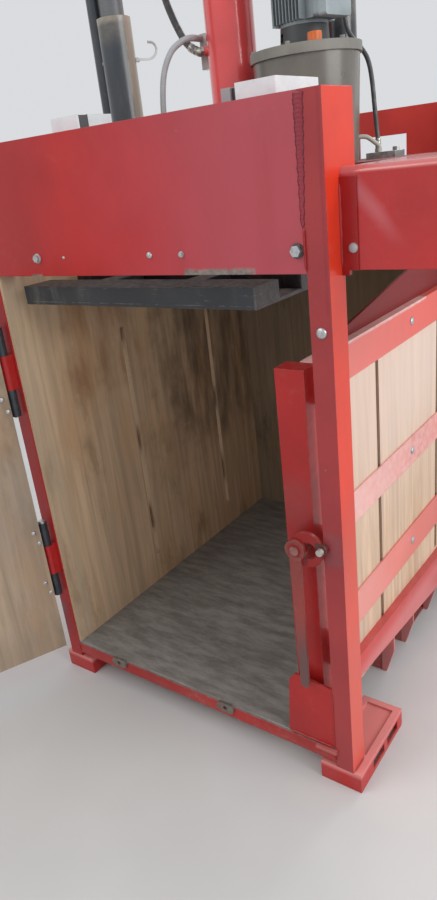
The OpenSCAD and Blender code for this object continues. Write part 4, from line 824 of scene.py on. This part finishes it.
class BALER_OT_hoses(Operator):
    """Round rubber hoses with crimped ferrules and swivel nuts, the ribbed conduit and the suction pipe"""
    bl_idname = "baler.hoses"
    bl_label = "Hoses"

    def execute(self, context):
        sizes = context.scene.baler_sizes
        rubber = moulded("hose rubber", (0.060, 0.063, 0.067), rough=0.36, dust=0.30, grain=300.0)
        steel = plated("hose fittings", (0.50, 0.48, 0.43), rough=0.32, dirt=0.3)
        grey = moulded("conduit plastic", (0.45, 0.47, 0.49), rough=0.45, dust=0.3)
        cream = satin_paint("suction pipe paint", (0.46, 0.44, 0.39), 0.36, 0.3, 0.2)
        routes = {node: np.array(points) / 1000 for node, points in HOSE_ROUTES.items()}
        pieces = {}
        for node, radius in (("pressure_hose", sizes.supply_r), ("return_hose", sizes.return_r)):
            route = even_route(rounded_route(routes[node]), 0.005)[0]
            parts = [tube(node + "_rubber", route, radius - 0.0006, sizes.sides, rubber)]
            for end in (route, route[::-1]):
                parts += self.fitting(end, steel, radius, sizes.ferrule)
            pieces[node] = join(node + "_dressed", parts)
        # Ribs: the radius goes up and down once every 5 mm
        route, s = even_route(rounded_route(routes["cable_conduit"]), 0.0016)
        ribbed = 0.0082 + 0.0007 * np.cos(2 * np.pi * s / 0.005)
        pieces["cable_conduit"] = tube("cable_conduit_dressed", route, ribbed, 16, grey)
        route = rounded_route(routes["suction_hose"], 8)
        pieces["suction_hose"] = tube("suction_pipe_dressed", route, 0.0059, 18, cream)
        for node, piece in pieces.items():
            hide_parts(node)
            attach(piece, "frame")
        return {"FINISHED"}

    def fitting(self, route, steel, radius, length):
        """A hexagon nut at the end and a ferrule with two crimped waists behind it, both along the
        route. The ferrule has its full length on a hose of 10.8 mm radius, and less on a thinner one."""
        step = np.linalg.norm(route[1] - route[0])
        count = max(3, int(length * radius / 0.0108 / step))
        ferrule, s = even_route(route[2:count + 3], 0.0012)
        t = s / s[-1]
        waist = 0.0008 * (np.exp(-((t - 0.35) / 0.06) ** 2) + np.exp(-((t - 0.65) / 0.06) ** 2))
        body = tube("ferrule", ferrule, radius + 0.0012 - waist, 20, steel)
        r, high = radius + 0.0024, 0.010
        nut = turned_piece("nut", [(r * 0.86, 0.0002), (r, 0.0012), (r, high - 0.001), (r * 0.86, high)],
                           route[0], route[2] - route[0], steel, sides=6)
        return [body, nut]


class BALER_OT_cable_tie(Operator):
    """White cable tie round the left sleeve, with a curled tail"""
    bl_idname = "baler.cable_tie"
    bl_label = "Cable tie"

    def execute(self, context):
        width = context.scene.baler_sizes.tie_w
        white = moulded("tie plastic", (0.70, 0.71, 0.70), rough=0.30, dust=0.1)
        centre, r = np.array([*SLEEVE, 1.896]), 0.0472
        lead = math.radians(36.0)
        # The strap: round the back of the sleeve up to the pipe beside it
        a = np.linspace(lead, lead + math.radians(178.0), 49)
        loop = centre + np.stack([r * np.cos(a), r * np.sin(a), 0.004 * np.sin(a - lead)], axis=1)
        out = np.array([math.cos(lead), math.sin(lead), 0])
        side = np.array([-math.sin(lead), math.cos(lead), 0])
        base = centre + r * out
        # The tail: leaves the head outwards, rises and curls back over itself (outwards, upwards, in mm)
        curl = np.array([(0, 0), (14, 0), (38, -1), (52, 6), (58, 17), (57, 29), (49, 38), (36, 41)]) / 1000
        drift = np.linspace(0, 0.006, len(curl))
        tail = rounded_route(base + curl[:, :1] * out + curl[:, 1:] * [0, 0, 1.0] + drift[:, None] * side)
        head = [(0.0045, -0.005), (0.0064, -0.004), (0.0064, 0.005), (0.0045, 0.006)]
        piece = join("cable_tie", [
            self.strap("tie_loop", loop, width, white, upright=True),
            self.strap("tie_tail", tail, width, white, upright=False),
            turned_piece("tie_head", head, base + 0.004 * out, side, white, sides=8)])
        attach(piece, "frame")
        return {"FINISHED"}

    def strap(self, name, route, width, material, upright):
        """A flat strip with round edges: at each point an oblong across the route, 1.4 mm thick.

        Upright it stands like a band round a post, otherwise it leans by 0.9 radians."""
        tangent = unit(np.gradient(route, axis=0))
        across = np.array([0.0, 0.0, 1.0])
        if not upright:
            level = square_to(tangent, unit(np.cross(tangent[0], across)))
            across = math.cos(0.9) * level + math.sin(0.9) * np.cross(tangent, level)
        across = square_to(tangent, across)
        normal = np.cross(tangent, across)
        a = np.linspace(0, 2 * np.pi, 12, endpoint=False)[:, None]
        w = np.sign(np.cos(a)) * np.abs(np.cos(a)) ** 0.4 * width / 2
        h = np.sign(np.sin(a)) * np.abs(np.sin(a)) ** 0.6 * 0.0007
        return grid_mesh(name, route[:, None] + w * across[:, None] + h * normal[:, None], material)


class BALER_OT_welds(Operator):
    """Painted fillet welds where posts, header, sill, jamb and lugs meet"""
    bl_idname = "baler.welds"
    bl_label = "Welds"

    def execute(self, context):
        sizes = context.scene.baler_sizes
        paint = enamel("weld", shaded(context.scene.baler_colours.enamel, 0.82), 0.3, 0.2, 0.34)
        crimson = enamel("bead", (0.30, 0.028, 0.046), 0.2, 0.10, 0.30)
        # A very dark red sheet round the woven bead: painted shade at the bead's edges.
        shadow = enamel("bead_shade_rim", (0.14, 0.008, 0.018), 0.1, 0.05, 0.40)
        up, down, out, left, right = (0, 0, 1), (0, 0, -1), (0, -1, 0), (-1, 0, 0), (1, 0, 0)
        lines = [
            # Header ends against the posts, on the front plane
            ((POST_IN, FRONT, 1.385), (POST_IN, FRONT, 1.478), left, out),
            ((-POST_IN, FRONT, 1.385), (-POST_IN, FRONT, 1.714), right, out),
            # Header's lower edge against the right post
            ((POST_IN, FRONT + 0.002, 1.383), (POST_IN, FRONT + 0.058, 1.383), left, down),
            # Sill against the posts
            ((POST_IN, FRONT, 0.078), (POST_IN, FRONT, 0.116), left, out),
            ((-POST_IN, FRONT, 0.078), (-POST_IN, FRONT, 0.116), right, out),
            # Foot of the posts on the feet
            ((POST_OUT, FRONT + 0.002, 0.060), (POST_OUT, FRONT + 0.068, 0.060), right, up),
            ((-POST_OUT, FRONT + 0.002, 0.060), (-POST_OUT, FRONT + 0.068, 0.060), left, up),
            # Jamb gusset on the sill and against the post
            ((0.353, -0.658, 0.124), (0.494, -0.658, 0.124), out, up),
            ((POST_IN, -0.658, 0.126), (POST_IN, -0.658, 0.318), left, out),
            # Lugs on the sill
            ((-0.323, FRONT, 0.096), (-0.271, FRONT, 0.096), out, down),
            ((0.109, FRONT, 0.096), (0.161, FRONT, 0.096), out, down),
            # Cabinet bracket against the post
            ((POST_OUT, -0.604, 1.384), (POST_OUT, -0.604, 1.55), right, out),
        ]
        beads = [weld_bead(f"bead_{i}", *line, paint, sizes.weld_r, sizes.weld_pitch, seed=i)
                 for i, line in enumerate(lines)]
        # The woven bead over the header's joint, and a thin very dark rim on both its sides: painted shade along the
        # bead's edges
        top, foot = (0.4975, 1.7135), (0.4915, 1.470)
        beads.append(flat_bead("woven_bead", top, foot, (0.0084, 0.0018), 0.0026, crimson))
        beads.append(flat_bead("bead_shade_rim", top, foot, (0.0106, 0.0036), 0.0005, shadow))
        piece = join("frame_welds", beads)
        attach(piece, "frame")
        return {"FINISHED"}


class BALER_OT_stage(Operator):
    """Pale floor, soft light and the camera at the photograph's angle"""
    bl_idname = "baler.stage"
    bl_label = "Stage"

    def execute(self, context):
        scene = context.scene
        scene.view_settings.view_transform = "Standard"
        self.floor()
        self.world(scene)
        for light in LIGHTS:
            self.area(*light)
        self.camera(scene)
        return {"FINISHED"}

    def floor(self):
        """A large flat sheet 0.6 mm under the feet, paler with the distance so that it runs into the
        background."""
        x, y = np.meshgrid(np.linspace(-40, 40, 3), np.linspace(-40, 40, 3))
        f = Finish("floor")
        tone = f.mix(f.step(f.noise(1.5, 3.0), 0.3, 0.7), (0.60, 0.60, 0.595), (0.64, 0.64, 0.635))
        tone = f.mix(f.step(f.vector("LENGTH", f.coords), 2.5, 9.0), tone, (0.92, 0.93, 0.94))
        f.shade(tone, 0.9, specular=0.05)
        obj = grid_mesh("floor", np.stack([x, y, np.full((3, 3), -0.0006)], axis=-1), f.mat, closed=False)

    def world(self, scene):
        """Even pale surroundings."""
        scene.world = bpy.data.worlds.new("studio")
        scene.world.use_nodes = True
        nodes, links = scene.world.node_tree.nodes, scene.world.node_tree.links
        nodes.clear()
        out = nodes.new("ShaderNodeOutputWorld")
        soft = nodes.new("ShaderNodeBackground")
        soft.inputs[0].default_value = (0.70, 0.715, 0.735, 1)
        soft.inputs[1].default_value = 1.0
        links.new(soft.outputs[0], out.inputs[0])

    def area(self, name, place, target, width, height, power, colour):
        light = bpy.data.lights.new(name, "AREA")
        light.shape = "RECTANGLE"
        light.size = width
        light.size_y = height
        light.energy = power
        light.color = colour
        obj = placed(name, light)
        obj.location = place
        obj.rotation_euler = (Vector(target) - Vector(place)).to_track_quat("-Z", "Y").to_euler()

    def camera(self, scene):
        yaw, pitch, roll = (math.radians(turn) for turn in CAMERA_TURNS)
        ahead = Vector((-math.sin(yaw) * math.cos(pitch), math.cos(yaw) * math.cos(pitch), -math.sin(pitch)))
        level = Vector((math.cos(yaw), math.sin(yaw), 0))
        below = ahead.cross(level)
        right = math.cos(roll) * level + math.sin(roll) * below
        down = -math.sin(roll) * level + math.cos(roll) * below
        data = bpy.data.cameras.new("camera")
        data.sensor_fit = "VERTICAL"
        data.sensor_height = 36.0
        data.sensor_width = 36.0
        data.lens = CAMERA_LENS
        data.clip_end = 60
        obj = placed("camera", data)
        turn = Matrix((right, -down, -ahead)).transposed()
        obj.matrix_world = Matrix.Translation(CAMERA_PLACE) @ turn.to_4x4()
        scene.camera = obj


class BALER_PT_panel(Panel):
    """Buttons and settings of the baler's looks"""
    bl_idname = "BALER_PT_panel"
    bl_label = "Recycling baler"
    bl_space_type = "VIEW_3D"
    bl_region_type = "UI"
    bl_category = "Baler"

    def draw(self, context):
        column = self.layout.column(align=True)
        for step in STEPS:
            column.operator(step.bl_idname)
        for group in (context.scene.baler_colours, context.scene.baler_sizes):
            box = self.layout.box()
            for key in group.__annotations__:
                box.prop(group, key)


STEPS = (BALER_OT_stage, BALER_OT_frame_finish, BALER_OT_board_finish, BALER_OT_door_finish,
         BALER_OT_press_finish, BALER_OT_power_finish, BALER_OT_hoses, BALER_OT_cable_tie, BALER_OT_welds)
CLASSES = (BalerColours, BalerSizes, *STEPS, BALER_PT_panel)


def register():
    for cls in CLASSES:
        bpy.utils.register_class(cls)
    bpy.types.Scene.baler_colours = PointerProperty(type=BalerColours)
    bpy.types.Scene.baler_sizes = PointerProperty(type=BalerSizes)


def unregister():
    del bpy.types.Scene.baler_sizes
    del bpy.types.Scene.baler_colours
    for cls in reversed(CLASSES):
        bpy.utils.unregister_class(cls)


def main():
    register()
    for step in STEPS:
        group, call = step.bl_idname.split(".")
        getattr(getattr(bpy.ops, group), call)()


if __name__ == "__main__":
    main()
